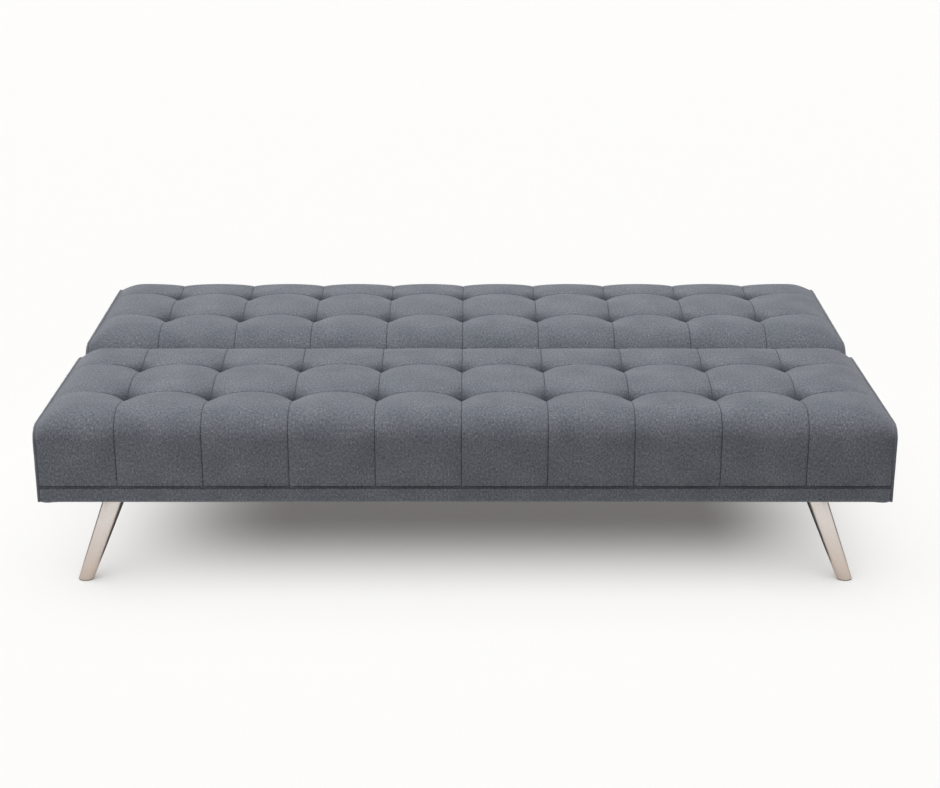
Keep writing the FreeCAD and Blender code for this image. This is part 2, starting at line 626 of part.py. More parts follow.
def build_seat_frame():
    y0 = FRONT_Y + CLOTH + FRONT_WADDING
    y1 = SEAT_REAR_Y - CLOTH - REAR_WADDING
    z0, z1 = SEAT_RAIL_Z, SEAT_RAIL_Z + SEAT_RAIL_H
    rear_rail = box(-SEAT_RAIL_X, SEAT_RAIL_X, y1 - TIMBER, y1, z0, z1)
    for tool in both_ends(box(CARRIER_X - CARRIER_W / 2 - 1, CARRIER_X + CARRIER_W / 2 + 1,
                              y1 - TIMBER - 1, y1 + 1, z0 - 1, CARRIER_Z + CARRIER_H + 1)):
        rear_rail = rear_rail.cut(tool)
    end = end_rail(SEAT_RAIL_X, y0, y1, z0, SEAT_RAIL_H)
    arm_screws = []
    for y in SEAT_ARM_SCREW_Y:
        seat = V(SEAT_ARM_X[0], y, SEAT_ARM_SCREW_Z)
        arm_screws.append(pan_screw(seat, V(1, 0, 0), TIMBER))
        end = end.cut(Part.makeCylinder(M6_R + 0.05, TIMBER, seat, V(1, 0, 0)))
    cross = [box(x - TIMBER / 2, x + TIMBER / 2, y0 + TIMBER, y1 - TIMBER, CARRIER_Z, z0 + CROSS_RAIL_H)
             for x in SEAT_CROSS_X]
    for y in CARRIER_BOLT_Y:
        hole_start = V(CROSS_FACE_X - 1, y, CARRIER_BOLT_Z)
        hole = Part.makeCylinder(M8_R + HOLE_CLEARANCE, TIMBER + 2, hole_start, V(1, 0, 0))
        cross[-1] = cross[-1].cut(hole)
        cross[0] = cross[0].cut(mirrored(hole))
    springs, clips = spring_row(y0 + TIMBER / 2, y1 - TIMBER / 2, z1)

    save("seat_front_rail", box(-SEAT_RAIL_X, SEAT_RAIL_X, y0, y0 + TIMBER, z0, z1))
    save("seat_rear_rail", rear_rail)
    save("seat_end_rail_right", end)
    save("seat_end_rail_left", mirrored(end))
    save("seat_cross_rails", cross)
    save("seat_corner_blocks", corner_blocks(SEAT_RAIL_X, y0 + TIMBER, y1 - TIMBER, z0))
    save("seat_springs", springs)
    save("seat_spring_clips", clips)
    save("seat_arm_screws", [s for screw in arm_screws for s in both_ends(screw)])


def build_back_upholstery():
    y0, y1 = BACK_FRONT_Y, REAR_Y
    foam_y = (y0 + CLOTH + REAR_WADDING, y1 - CLOTH - REAR_WADDING)
    springs_top = BACK_RAIL_Z + BACK_RAIL_H + SPRING_LIFT + SPRING_WIRE_R + 0.2 + CLIP_T
    foam_z = springs_top + FIT + FELT + FIT
    pocket = ((y0 - 1, 104), (BACK_RAIL_Z + BACK_RAIL_H, SLOT_TOP_Z))
    slot = ((y0 - 1, 46), (SLOT_LOW_Z, SLOT_TOP_Z))

    back_cover = hinge_pockets(cover(y0, y1, BACK_Z, INNER_ROLL, OUTER_ROLL), None, None, *slot)
    fill = wadding(y0, y1, BACK_RAIL_Z, foam_y, (INNER_ROLL, OUTER_ROLL),
                   (FOAM_INNER_ROLL, FOAM_OUTER_ROLL))
    fill = hinge_pockets(fill, *pocket, *slot)
    foam = hinge_pockets(foam_block(*foam_y, foam_z, FOAM_INNER_ROLL, FOAM_OUTER_ROLL), *pocket, *slot)
    save("back_cover", back_cover)
    save("back_wadding", fill)
    save("back_foam", foam)
    save("back_felt", box(-POCKET_X + 2, POCKET_X - 2, foam_y[0] + 2, foam_y[1] - 2,
                          springs_top + FIT, springs_top + FIT + FELT))
    save("back_rear_panel", box(-PANEL_X + 2, PANEL_X - 2, y0 + CLOTH + FIT, y1 - CLOTH - FIT,
                                BACK_Z, BACK_Z + CLOTH))
    save("back_side_panels", both_ends(side_panel(y0, y1, BACK_Z)))
    save("back_piping", both_ends(piping(y0, y1, BACK_Z)))
    save("back_side_padding", both_ends(side_padding(y0, y1, BACK_Z)))


def build_back_frame():
    y0 = BACK_FRONT_Y + CLOTH + REAR_WADDING
    y1 = REAR_Y - CLOTH - REAR_WADDING
    z0, z1 = BACK_RAIL_Z, BACK_RAIL_Z + BACK_RAIL_H
    end = end_rail(BACK_RAIL_X, y0, y1, z0, BACK_RAIL_H)
    arm_screws = []
    for y in BACK_ARM_SCREW_Y:
        seat = V(BACK_ARM_X[0], y, BACK_ARM_SCREW_Z)
        arm_screws.append(pan_screw(seat, V(1, 0, 0), TIMBER))
        end = end.cut(Part.makeCylinder(M6_R + 0.05, TIMBER, seat, V(1, 0, 0)))
    cross = [box(x - TIMBER / 2, x + TIMBER / 2, y0 + TIMBER, y1 - TIMBER, z0, z0 + CROSS_RAIL_H)
             for x in BACK_CROSS_X]
    springs, clips = spring_row(y0 + TIMBER / 2, y1 - TIMBER / 2, z1)

    save("back_front_rail", box(-BACK_RAIL_X, BACK_RAIL_X, y0, y0 + TIMBER, z0, z1))
    save("back_rear_rail", box(-BACK_RAIL_X, BACK_RAIL_X, y1 - TIMBER, y1, z0, z1))
    save("back_end_rail_right", end)
    save("back_end_rail_left", mirrored(end))
    save("back_cross_rails", cross)
    save("back_corner_blocks", corner_blocks(BACK_RAIL_X, y0 + TIMBER, y1 - TIMBER, z0))
    save("back_springs", springs)
    save("back_spring_clips", clips)
    save("back_arm_screws", [s for screw in arm_screws for s in both_ends(screw)])


def build_sub_frame():
    save("carrier_right", carrier())
    save("carrier_left", mirrored(carrier()))
    inner_x = CARRIER_X - CARRIER_W / 2
    bar = box(-inner_x, inner_x, CROSSBAR_Y[0], CROSSBAR_Y[1], CARRIER_Z, CARRIER_Z + CARRIER_H)
    w = CARRIER_WALL
    bore = box(-inner_x - 1, inner_x + 1, CROSSBAR_Y[0] + w, CROSSBAR_Y[1] - w,
               CARRIER_Z + w, CARRIER_Z + CARRIER_H - w)
    save("rear_crossbar", bar.cut(bore))
    plugs = [end_plug(CARRIER_FRONT_Y, -1), end_plug(CARRIER_REAR_Y, 1)]
    save("carrier_end_plugs", [p for plug in plugs for p in both_ends(plug)])
    top = CARRIER_Z + CARRIER_H
    bumper = Part.makeCone(BUMPER_R, BUMPER_R - 3, BACK_Z - BUMPER_GAP - top, V(CARRIER_X, BUMPER_Y, top))
    save("back_bumpers", both_ends(bumper))
    bolts = []
    for y in CARRIER_BOLT_Y:
        seat = V(CARRIER_X + CARRIER_W / 2, y, CARRIER_BOLT_Z)
        reach = seat.x - CROSS_FACE_X
        bolt = hex_bolt(seat, V(-1, 0, 0), reach + NUT_H)
        nut = hexagon(M8_AF, V(CROSS_FACE_X, y, CARRIER_BOLT_Z), V(-1, 0, 0), NUT_H)
        bolts += both_ends(fused([bolt, nut]))
    save("carrier_bolts", bolts)


def build_legs():
    for end, splay in (("front", -1), ("rear", 1)):
        save("leg_" + end + "_right", leg(splay))
        save("leg_" + end + "_left", mirrored(leg(splay)))
    plates = [leg_plate(FRONT_LEG_TOP_Y), leg_plate(REAR_LEG_TOP_Y)]
    save("leg_plates", [p for item in plates for p in both_ends(item)])
    save("leg_glides", [g for splay in (-1, 1) for g in both_ends(glide(splay))])
    bolts, nuts = [], []
    for place in leg_bolt_places():
        bolts += both_ends(hex_bolt(V(place.x, place.y, CARRIER_Z - PLATE_T), V(0, 0, 1), 14))
        nuts += both_ends(weld_nut(place))
    save("leg_bolts", bolts)
    save("leg_weld_nuts", nuts)


def build_hinges():
    for side, make in (("right", lambda s: s), ("left", mirrored)):
        save("seat_hinge_arm_" + side, make(seat_arm()))
        save("back_hinge_arm_" + side, make(back_arm()))
        save("pawl_" + side, make(pawl()))
    save("hinge_pins", both_ends(headed_pin(PIN_R, PIVOT, PIN_HEAD_R, PIN_HEAD_R)))
    save("hinge_washers", both_ends(spacer(PIN_R, PIVOT)) + both_ends(spacer(PAWL_PIN_R, PAWL_PIVOT)))
    save("pawl_pins", both_ends(headed_pin(PAWL_PIN_R, PAWL_PIVOT, 7.0, 6.5)))
    save("pawl_stops", both_ends(pawl_stop()))
    save("pawl_springs", both_ends(pawl_spring()))


os.makedirs("parts", exist_ok=True)
build_seat_upholstery()
build_seat_frame()
build_back_upholstery()
build_back_frame()
build_sub_frame()
build_legs()
build_hinges()
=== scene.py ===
import json
import math

import bpy
import numpy as np
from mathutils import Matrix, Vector


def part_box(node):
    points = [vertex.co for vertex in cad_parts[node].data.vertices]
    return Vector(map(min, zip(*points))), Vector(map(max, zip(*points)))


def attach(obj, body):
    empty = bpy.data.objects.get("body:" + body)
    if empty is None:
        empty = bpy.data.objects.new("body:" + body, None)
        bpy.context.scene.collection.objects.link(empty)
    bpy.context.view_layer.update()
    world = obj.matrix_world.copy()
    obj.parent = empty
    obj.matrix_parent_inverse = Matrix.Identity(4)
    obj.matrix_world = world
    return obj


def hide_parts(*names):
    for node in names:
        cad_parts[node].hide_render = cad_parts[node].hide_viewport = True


# A futon sofa bed lying flat. Metres; X runs along the bed, +Y to the back, +Z up.
# Built here round the CAD frame: the tufted covers, piping, padded side panels, front band, the two cloths
# underneath and their staples. Frame, springs, hinges, sub-frame and legs are the CAD's own.

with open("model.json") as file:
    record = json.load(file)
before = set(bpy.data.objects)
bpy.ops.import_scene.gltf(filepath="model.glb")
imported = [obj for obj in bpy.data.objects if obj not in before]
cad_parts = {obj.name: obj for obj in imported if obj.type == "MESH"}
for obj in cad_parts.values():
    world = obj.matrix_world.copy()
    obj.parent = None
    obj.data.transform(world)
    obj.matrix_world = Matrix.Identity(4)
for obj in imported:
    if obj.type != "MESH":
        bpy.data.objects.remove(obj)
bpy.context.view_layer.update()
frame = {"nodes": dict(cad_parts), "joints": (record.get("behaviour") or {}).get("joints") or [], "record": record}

MM = 0.001

# Ends of the covers and the piping
COVER_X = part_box("seat_cover")[1].x + 2.6 * MM
TOP_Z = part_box("seat_cover")[1].z
CLOTH = 1.5 * MM
PIPE_R = 3.1 * MM
PIPE_SIDES = 12
PIPE_INSET = 3.2 * MM
PIPE_X = COVER_X + 2.4 * MM
SEAT_PIPE_CORNERS = (27 * MM, 60 * MM)             # radii at the front and rear
BACK_PIPE_CORNERS = (37 * MM, 42 * MM)
SEAT_PIPE = (29 * MM, -3 * MM)                     # depth below the top in front, rise towards the rear
BACK_PIPE = (29 * MM, 11 * MM)
EDGE_LIFT = 1.6 * MM                               # from the piping's middle out to the cover's end
END_REACH = (16 * MM, 62 * MM)                     # of the drop to the piping, on the walls and on top

# Tufting
COLUMN = 0.168
COLUMN_SHIFT = -0.007
COLUMNS = range(-4, 5)
SEAT_ROWS = (-0.334, -0.160)
BACK_ROWS = (0.201, 0.372)
TUFT_DEPTH = 17 * MM
TUFT_REACH_X = COLUMN / 2
TUFT_REACH_Y = 0.088
FRONT_SLOPE = 1.3                                  # a tuft's hollow is gentler on its front side
PINCH = 10 * MM
PINCH_REACH = 32 * MM
SECOND_ROW_SHARE = 0.85                            # the row nearer the rear is drawn in less
SEAT_SCALLOP = 1.2 * MM                            # dip of the column seams behind the last row
BACK_SCALLOP = 5.5 * MM
SCALLOP_START = 60 * MM
FOLD_REACH = 30 * MM
COLUMN_FOLD = (1.2 * MM, 2.0 * MM)                 # everywhere, and added near the rows
COLUMN_FOLD_REACH = 100 * MM
ROW_FOLD = 4.5 * MM
ROW_END = 50 * MM                                  # the row seams fade out towards the piping
COLUMN_GROOVE = ROW_GROOVE = 1.4 * MM
SEAM_STEPS = np.array((0, 2.5, 7, 14, 25, 38, 52, 68)) * MM

# Rolls of the pads' long edges
OUTER_ROLL = 0.050
INNER_ROLL = 0.094

# Hinge openings in the covers
HINGE = Vector(frame["joints"][0]["pos_m"])
SEAT_SLOT = (0.793, 0.8045, HINGE.z + 7 * MM)      # inner x, outer x and top
BACK_SLOT = (0.793, 0.799, HINGE.z + 1 * MM)
SLOT_LOW_Z = HINGE.z - 55 * MM
SLOT_REACH = 30 * MM

# Side panels, hems and the cloth underneath
PANEL_GAP = 3.4 * MM
PANEL_IN_X = COVER_X + 2.6 * MM
PANEL_OUT_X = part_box("seat_side_panels")[1].x
HEM_STEPS = (26 * MM, 16 * MM, 8 * MM, 4 * MM, 1.6 * MM, 0.4 * MM)
BAND_CLOTH = 1.2 * MM
# The front band's section: mm behind its face and above its lower edge
BAND_PROFILE = ((4.6, 33.6), (2.6, 32.7), (0.9, 31.2), (0.25, 28.5), (0.0, 23), (-0.15, 16), (0.0, 9),
                (0.3, 4), (1.3, 1.4), (3.2, 0.1), (6, -0.35), (12, -0.4), (20, -0.4))
DUST_CLOTH = 0.6 * MM
DUST_INSET = 9 * MM
DUST_SAG = 3.5 * MM                                # in the widest bay
DUST_RAILS_X = np.array([-0.815, -0.661, -0.23, 0.23, 0.661, 0.815])
PLATE_LENGTHS = (58 * MM, 85 * MM)                 # of a leg plate, along x and y
STAPLE_CROWN = 10 * MM
STAPLE_WIRE_R = 0.5 * MM
STAPLES_ALONG = (27, 8)                            # on each long side and on each end

# Studio light
KEY_ENERGY = 3.88
FILL_ENERGY = 5.6
RIM_ENERGY = 9
FLOOR_ENERGY = 3.12
WORLD_FILL = 0.04
FLAG_X = (-0.65, 0.67)
FLAG_Y = (-0.322, 0.40)
FLAG_Z = 0.22

LEG_NODES = ("leg_front_left", "leg_front_right", "leg_rear_left", "leg_rear_right", "leg_glides")
LEG_LEAN = 75 * MM

# Camera
LENS = 68.94
SENSOR = 36
CAMERA_PLACE = (0.0095, -3.74, 1.552)
CAMERA_DOWN = 19.26

# Cloth simulation of the covers
PRESSURE = 7.0
LAST_FRAME = 20
MOST_MOVED = 8 * MM

rng = np.random.default_rng(7)


# Mesh helpers

def smooth(t):
    """0 below 0, 1 above 1, and an even curve between."""
    t = np.clip(t, 0, 1)
    return t * t * (3 - 2 * t)


def falloff(distance, reach, power=2):
    """1 at no distance, 0 from reach on."""
    return (1 - np.clip(np.abs(distance) / reach, 0, 1)) ** power


def add_vector_attribute(mesh, name, values):
    attribute = mesh.attributes.new(name, "FLOAT_VECTOR", "POINT")
    attribute.data.foreach_set("vector", np.asarray(values, np.float32).ravel())


def read_vector_attribute(mesh, name):
    values = np.zeros(len(mesh.vertices) * 3, np.float32)
    mesh.attributes[name].data.foreach_get("vector", values)
    return values.reshape(-1, 3).astype(float)


def read_points(mesh):
    values = np.zeros(len(mesh.vertices) * 3, np.float32)
    mesh.vertices.foreach_get("co", values)
    return values.reshape(-1, 3).astype(float)


def write_points(mesh, points):
    mesh.vertices.foreach_set("co", np.asarray(points, np.float32).ravel())
    mesh.update()


def grid_faces(rows, columns, around=False):
    """Quads of a grid of rows x columns points. around joins the last column to the first."""
    faces = []
    for i in range(rows - 1):
        for j in range(columns if around else columns - 1):
            k = (j + 1) % columns
            faces.append((i * columns + j, i * columns + k, (i + 1) * columns + k, (i + 1) * columns + j))
    return faces


def mesh_object(name, points, faces, weave=None, seam=None):
    mesh = bpy.data.meshes.new(name)
    mesh.from_pydata([tuple(p) for p in np.asarray(points, float).reshape(-1, 3)], [], faces)
    mesh.validate()
    if weave is not None:
        add_vector_attribute(mesh, "weave", weave)
    if seam is not None:
        add_vector_attribute(mesh, "seam", seam)
    mesh.polygons.foreach_set("use_smooth", [True] * len(mesh.polygons))
    made = bpy.data.objects.new(name, mesh)
    bpy.context.scene.collection.objects.link(made)
    return made


def apply_modifiers(made):
    """Bakes an object's modifiers into its mesh."""
    graph = bpy.context.evaluated_depsgraph_get()
    mesh = bpy.data.meshes.new_from_object(made.evaluated_get(graph), depsgraph=graph)
    made.modifiers.clear()
    made.data = mesh
    mesh.name = made.name


def subdivide(made):
    modifier = made.modifiers.new("subdivide", "SUBSURF")
    modifier.levels = modifier.render_levels = 1
    modifier.boundary_smooth = "PRESERVE_CORNERS"
    apply_modifiers(made)


def thicken(made, thickness):
    modifier = made.modifiers.new("thickness", "SOLIDIFY")
    modifier.thickness = thickness
    modifier.offset = -1
    modifier.use_even_offset = False
    apply_modifiers(made)


def finish_piece(made, body, material, replaces=()):
    made.data.materials.clear()
    made.data.materials.append(material)
    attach(made, body)
    if replaces:
        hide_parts(*replaces)


# Shader helpers

def node(tree, kind, inputs=None, **settings):
    """A shader node. inputs maps socket names or numbers to values or to other nodes' sockets."""
    made = tree.nodes.new("ShaderNode" + kind)
    for key, value in settings.items():
        setattr(made, key, value)
    for key, value in (inputs or {}).items():
        if isinstance(value, bpy.types.NodeSocket):
            tree.links.new(value, made.inputs[key])
        else:
            made.inputs[key].default_value = value
    return made


def calc(tree, operation, *values):
    return node(tree, "Math", dict(enumerate(values)), operation=operation).outputs[0]


def noise(tree, vector, scale, stretch=(1, 1, 1), detail=2.0, roughness=0.5):
    """Noise from 0 to 1, stretched where stretch is below 1."""
    mapped = node(tree, "Mapping", {"Vector": vector, "Scale": [scale * s for s in stretch]})
    return node(tree, "TexNoise", {"Vector": mapped.outputs[0], "Scale": 1.0, "Detail": detail,
                                   "Roughness": roughness}).outputs[0]


def ramp(tree, factor, stops):
    """A colour ramp through (position, colour) stops."""
    made = node(tree, "ValToRGB", {0: factor})
    elements = made.color_ramp.elements
    while len(elements) < len(stops):
        elements.new(0.5)
    for element, (position, colour) in zip(elements, stops):
        element.position = position
        element.color = (*colour, 1)
    return made.outputs[0]


def map_range(tree, value, low, high, to_low=0.0, to_high=1.0):
    return node(tree, "MapRange", {0: value, 1: low, 2: high, 3: to_low, 4: to_high}).outputs[0]


def mix_colour(tree, factor, a, b):
    """Two colours mixed. a and b are sockets or colours."""
    made = node(tree, "Mix", {0: factor, 6: a if isinstance(a, bpy.types.NodeSocket) else (*a, 1),
                              7: b if isinstance(b, bpy.types.NodeSocket) else (*b, 1)},
                data_type="RGBA", blend_type="MIX")
    return made.outputs[2]


def bump(tree, height, distance, strength=1.0, under=None):
    inputs = {"Height": height, "Distance": distance, "Strength": strength}
    if under is not None:
        inputs["Normal"] = under
    return node(tree, "Bump", inputs).outputs[0]


def new_material(name, **surface):
    """A material with its shader's uniform values set. Returns (material, tree, shader)."""
    material = bpy.data.materials.new(name)
    material.use_nodes = True
    tree = material.node_tree
    shader = tree.nodes["Principled BSDF"]
    for key, value in surface.items():
        shader.inputs[key.replace("_", " ")].default_value = value
    return material, tree, shader


def join(tree, output, shader, name):
    tree.links.new(output, shader.inputs[name])


# Materials

def fabric_material():
    """Heather grey woven upholstery cloth, read from the pieces' own weave and seam coordinates, with painted
    shade along its seams and round its tufts.
    """
    material, tree, shader = new_material("upholstery_cloth")
    shader.inputs["Sheen Weight"].default_value = 0.22
    shader.inputs["Sheen Roughness"].default_value = 0.45
    shader.inputs["Specular IOR Level"].default_value = 0.25
    weave = node(tree, "Attribute", attribute_name="weave").outputs["Vector"]
    seam = node(tree, "Attribute", attribute_name="seam").outputs["Vector"]
    across, along, _ = node(tree, "SeparateXYZ", {0: weave}).outputs
    column_gap, row_gap, edge_gap = node(tree, "SeparateXYZ", {0: seam}).outputs

    # Yarns of mixed greys: slubs in both directions, single pale and dark fibres, a slow unevenness
    warp = noise(tree, weave, 640, (1, 0.34, 1), 3, 0.6)
    weft = noise(tree, weave, 640, (0.34, 1, 1), 3, 0.6)
    slubs = noise(tree, weave, 300, (0.9, 0.6, 1), 3, 0.7)
    fibres = noise(tree, weave, 1500, (1, 1, 1), 1, 0.5)
    slow = noise(tree, weave, 14, (1, 1, 1), 2, 0.5)
    yarns = calc(tree, "ADD", calc(tree, "MULTIPLY", warp, 0.5), calc(tree, "MULTIPLY", weft, 0.5))
    tone = calc(tree, "ADD", calc(tree, "MULTIPLY", yarns, 0.46), calc(tree, "MULTIPLY", fibres, 0.14))
    tone = calc(tree, "ADD", tone, calc(tree, "MULTIPLY", slubs, 0.40))
    tone = calc(tree, "ADD", tone, calc(tree, "MULTIPLY", calc(tree, "SUBTRACT", slow, 0.5), 0.10))
    colour = ramp(tree, tone, [(0.37, (0.045, 0.053, 0.068)), (0.46, (0.108, 0.119, 0.140)),
                               (0.54, (0.160, 0.170, 0.191)), (0.63, (0.292, 0.310, 0.336))])

    # Seams and tufts: painted shade where the cloth is drawn into a stitched line or under the piping, and in the
    # hollow round each tuft
    arc = calc(tree, "ADD", map_range(tree, edge_gap, 25 * MM, 100 * MM, 2.6 * MM, 0),
               map_range(tree, column_gap, 30 * MM, 84 * MM, 0, 0.35 * MM))
    row_line = calc(tree, "ADD", calc(tree, "MULTIPLY", row_gap, 0.5), arc)
    near = calc(tree, "MINIMUM", calc(tree, "MINIMUM", column_gap, row_line), edge_gap)
    dark = map_range(tree, near, 0.2 * MM, 1.3 * MM, 0.78, 0.0)
    # Painted shade in the hollow round each tuft, darkest at the tuft
    pit = calc(tree, "ADD", column_gap, row_gap)
    pit = calc(tree, "POWER", map_range(tree, pit, 1 * MM, 46 * MM, 0.96, 0.0), 1.8)
    dark = calc(tree, "MAXIMUM", dark, pit)
    colour = mix_colour(tree, dark, colour, (0.016, 0.019, 0.026))

    # Stitches of 4 mm along each seam
    def dashes(place):
        wave = calc(tree, "SINE", calc(tree, "MULTIPLY", place, 2 * math.pi / (4.2 * MM)))
        return calc(tree, "GREATER_THAN", wave, -0.35)

    on_column = map_range(tree, column_gap, 0.35 * MM, 0.75 * MM, 1, 0)
    on_row = map_range(tree, row_gap, 0.35 * MM, 0.75 * MM, 1, 0)
    column_thread = calc(tree, "MULTIPLY", on_column, dashes(along))
    row_thread = calc(tree, "MULTIPLY", on_row, dashes(across))
    thread = calc(tree, "MAXIMUM", column_thread, row_thread)
    colour = mix_colour(tree, calc(tree, "MULTIPLY", thread, 0.6), colour, (0.050, 0.056, 0.068))

    # Plain weave of 0.9 mm yarns, over the slubs
    yarn = 2 * math.pi / (1.8 * MM)
    over_under = calc(tree, "MULTIPLY", calc(tree, "SINE", calc(tree, "MULTIPLY", across, yarn)),
                      calc(tree, "SINE", calc(tree, "MULTIPLY", along, yarn)))
    height = calc(tree, "ADD", calc(tree, "MULTIPLY", over_under, 0.35), calc(tree, "MULTIPLY", yarns, 1.2))
    relief = bump(tree, height, 0.35 * MM, 0.8)
    relief = bump(tree, thread, 0.4 * MM, 0.7, relief)
    join(tree, colour, shader, "Base Color")
    join(tree, map_range(tree, tone, 0.3, 0.7, 0.96, 0.84), shader, "Roughness")
    join(tree, relief, shader, "Normal")
    return material


def object_noise(tree, scale, stretch=(1, 1, 1), detail=2.0, roughness=0.5):
    place = node(tree, "TexCoord").outputs["Object"]
    return noise(tree, place, scale, stretch, detail, roughness)


def nickel_material():
    """Satin nickel on the legs: fine brushing down the tube, faint smudges, and scuffs near the foot."""
    material, tree, shader = new_material("brushed_satin_nickel", Metallic=1.0)
    place = node(tree, "TexCoord").outputs["Object"]
    brushing = noise(tree, place, 1500, (1, 1, 0.012), 3, 0.6)
    smudge = noise(tree, place, 22, (1, 1, 0.5), 3, 0.5)
    height = node(tree, "SeparateXYZ", {0: place}).outputs[2]
    foot = map_range(tree, height, 4 * MM, 30 * MM, 1, 0)
    scuff = calc(tree, "MULTIPLY", foot, noise(tree, place, 260, (1, 1, 0.4), 4, 0.7))
    colour = ramp(tree, brushing, [(0.30, (0.60, 0.55, 0.515)), (0.70, (0.77, 0.71, 0.67))])
    # Darker and tan towards the foot
    colour = mix_colour(tree, map_range(tree, height, 5 * MM, 120 * MM, 0.9, 0), colour, (0.54, 0.44, 0.37))
    colour = mix_colour(tree, calc(tree, "MULTIPLY", scuff, 0.35), colour, (0.42, 0.40, 0.385))
    rough = calc(tree, "ADD", map_range(tree, brushing, 0.3, 0.7, 0.24, 0.34),
                 calc(tree, "MULTIPLY", smudge, 0.10))
    join(tree, colour, shader, "Base Color")
    join(tree, calc(tree, "ADD", rough, calc(tree, "MULTIPLY", scuff, 0.2)), shader, "Roughness")
    join(tree, bump(tree, brushing, 0.06 * MM, 0.5), shader, "Normal")
    return material


def metal_material(name, dark, light, low_rough, high_rough, grain=(1, 1, 1)):
    """Plated or bare steel with a grain, tarnish patches and slight unevenness."""
    material, tree, shader = new_material(name, Metallic=1.0)
    fine = object_noise(tree, 900, grain, 3, 0.6)
    patch = object_noise(tree, 60, (1, 1, 1), 3, 0.6)
    tone = calc(tree, "ADD", calc(tree, "MULTIPLY", fine, 0.5), calc(tree, "MULTIPLY", patch, 0.5))
    join(tree, ramp(tree, tone, [(0.35, dark), (0.65, light)]), shader, "Base Color")
    join(tree, map_range(tree, patch, 0.3, 0.7, low_rough, high_rough), shader, "Roughness")
    join(tree, bump(tree, fine, 0.05 * MM, 0.6), shader, "Normal")
    return material


def coated_material(name, dark, light, low_rough, high_rough, relief=0.12 * MM):
    """Powder coat, moulded plastic or rubber: a fine pebbled skin with dust and rubbed places."""
    material, tree, shader = new_material(name)
    pebbles = object_noise(tree, 1100, (1, 1, 1), 2, 0.5)
    dust = object_noise(tree, 35, (1, 1, 1), 4, 0.6)
    join(tree, ramp(tree, dust, [(0.35, dark), (0.75, light)]), shader, "Base Color")
    join(tree, map_range(tree, dust, 0.3, 0.7, low_rough, high_rough), shader, "Roughness")
    join(tree, bump(tree, pebbles, relief, 0.6), shader, "Normal")
    return material


def timber_material():
    """Planed pine with growth lines along the rail and a few darker streaks."""
    material, tree, shader = new_material("planed_pine")
    place = node(tree, "TexCoord").outputs["Object"]
    drift = noise(tree, place, 5, (0.25, 1, 1), 3, 0.5)
    grain = node(tree, "Mapping", {"Vector": place, "Scale": (6, 170, 170)}).outputs[0]
    rings = node(tree, "TexNoise", {"Vector": grain, "Scale": 1.0, "Detail": 4.0, "Roughness": 0.65,
                                    "Distortion": 0.6}).outputs[0]
    tone = calc(tree, "ADD", calc(tree, "MULTIPLY", rings, 0.75), calc(tree, "MULTIPLY", drift, 0.25))
    colour = ramp(tree, tone, [(0.35, (0.42, 0.26, 0.13)), (0.5, (0.62, 0.43, 0.25)),
                               (0.65, (0.74, 0.56, 0.36))])
    join(tree, colour, shader, "Base Color")
    join(tree, map_range(tree, rings, 0.3, 0.7, 0.72, 0.58), shader, "Roughness")
    join(tree, bump(tree, rings, 0.2 * MM, 0.5), shader, "Normal")
    return material


def fibre_material(name, dark, light, scale, relief, rough=0.95):
    """Foam, wadding, felt or non-woven cloth: open cells or matted fibres."""
    material, tree, shader = new_material(name, Roughness=rough)
    place = node(tree, "TexCoord").outputs["Object"]
    cells = node(tree, "TexVoronoi", {"Vector": place, "Scale": scale}).outputs["Distance"]
    mat = noise(tree, place, scale * 0.4, (1, 1, 1), 4, 0.7)
    tone = calc(tree, "ADD", calc(tree, "MULTIPLY", cells, 0.5), calc(tree, "MULTIPLY", mat, 0.5))
    join(tree, ramp(tree, tone, [(0.2, dark), (0.6, light)]), shader, "Base Color")
    join(tree, bump(tree, tone, relief, 0.8), shader, "Normal")
    return material


cloth = fabric_material()
nickel = nickel_material()
black_steel = coated_material("black_powder_coat", (0.010, 0.010, 0.011), (0.035, 0.035, 0.036), 0.42, 0.62)
black_plastic = coated_material("black_moulded_plastic", (0.012, 0.012, 0.012), (0.045, 0.044, 0.043),
                                0.45, 0.7)
rubber = coated_material("bumper_rubber", (0.014, 0.013, 0.013), (0.05, 0.048, 0.046), 0.75, 0.92, 0.2 * MM)
zinc = metal_material("zinc_plated_steel", (0.50, 0.50, 0.49), (0.68, 0.68, 0.66), 0.28, 0.48)
hinge_steel = metal_material("stamped_steel", (0.34, 0.34, 0.35), (0.52, 0.52, 0.52), 0.30, 0.52,
                             (1, 0.1, 0.1))
spring_steel = metal_material("spring_wire", (0.24, 0.24, 0.25), (0.42, 0.42, 0.43), 0.35, 0.55)
pine = timber_material()
foam = fibre_material("polyurethane_foam", (0.52, 0.47, 0.34), (0.80, 0.76, 0.62), 900, 0.5 * MM)
wadding = fibre_material("polyester_wadding", (0.66, 0.66, 0.65), (0.88, 0.88, 0.87), 420, 1.0 * MM)
felt = fibre_material("needled_felt", (0.16, 0.16, 0.17), (0.34, 0.33, 0.33), 700, 0.5 * MM)
non_woven = fibre_material("black_non_woven", (0.008, 0.008, 0.009), (0.036, 0.036, 0.038), 1200, 0.15 * MM)

SLOT_MATERIALS = {
    "upholstery": cloth, "foam": foam, "wadding": wadding, "felt": felt, "dust_cloth": non_woven,
    "timber": pine, "spring_steel": spring_steel, "black_steel": black_steel, "satin_nickel": nickel,
    "fastener_steel": zinc, "hinge_steel": hinge_steel, "black_plastic": black_plastic,
    "bumper_rubber": rubber,
}


def finish_cad_nodes():
    """Each CAD node gets its slot's material."""
    for entry in frame["record"]["subparts"]:
        cad_node = frame["nodes"][entry["node"]]
        for place in cad_node.material_slots:
            place.material = SLOT_MATERIALS[entry["material_slot"]]


# Outline of a pad seen from its end

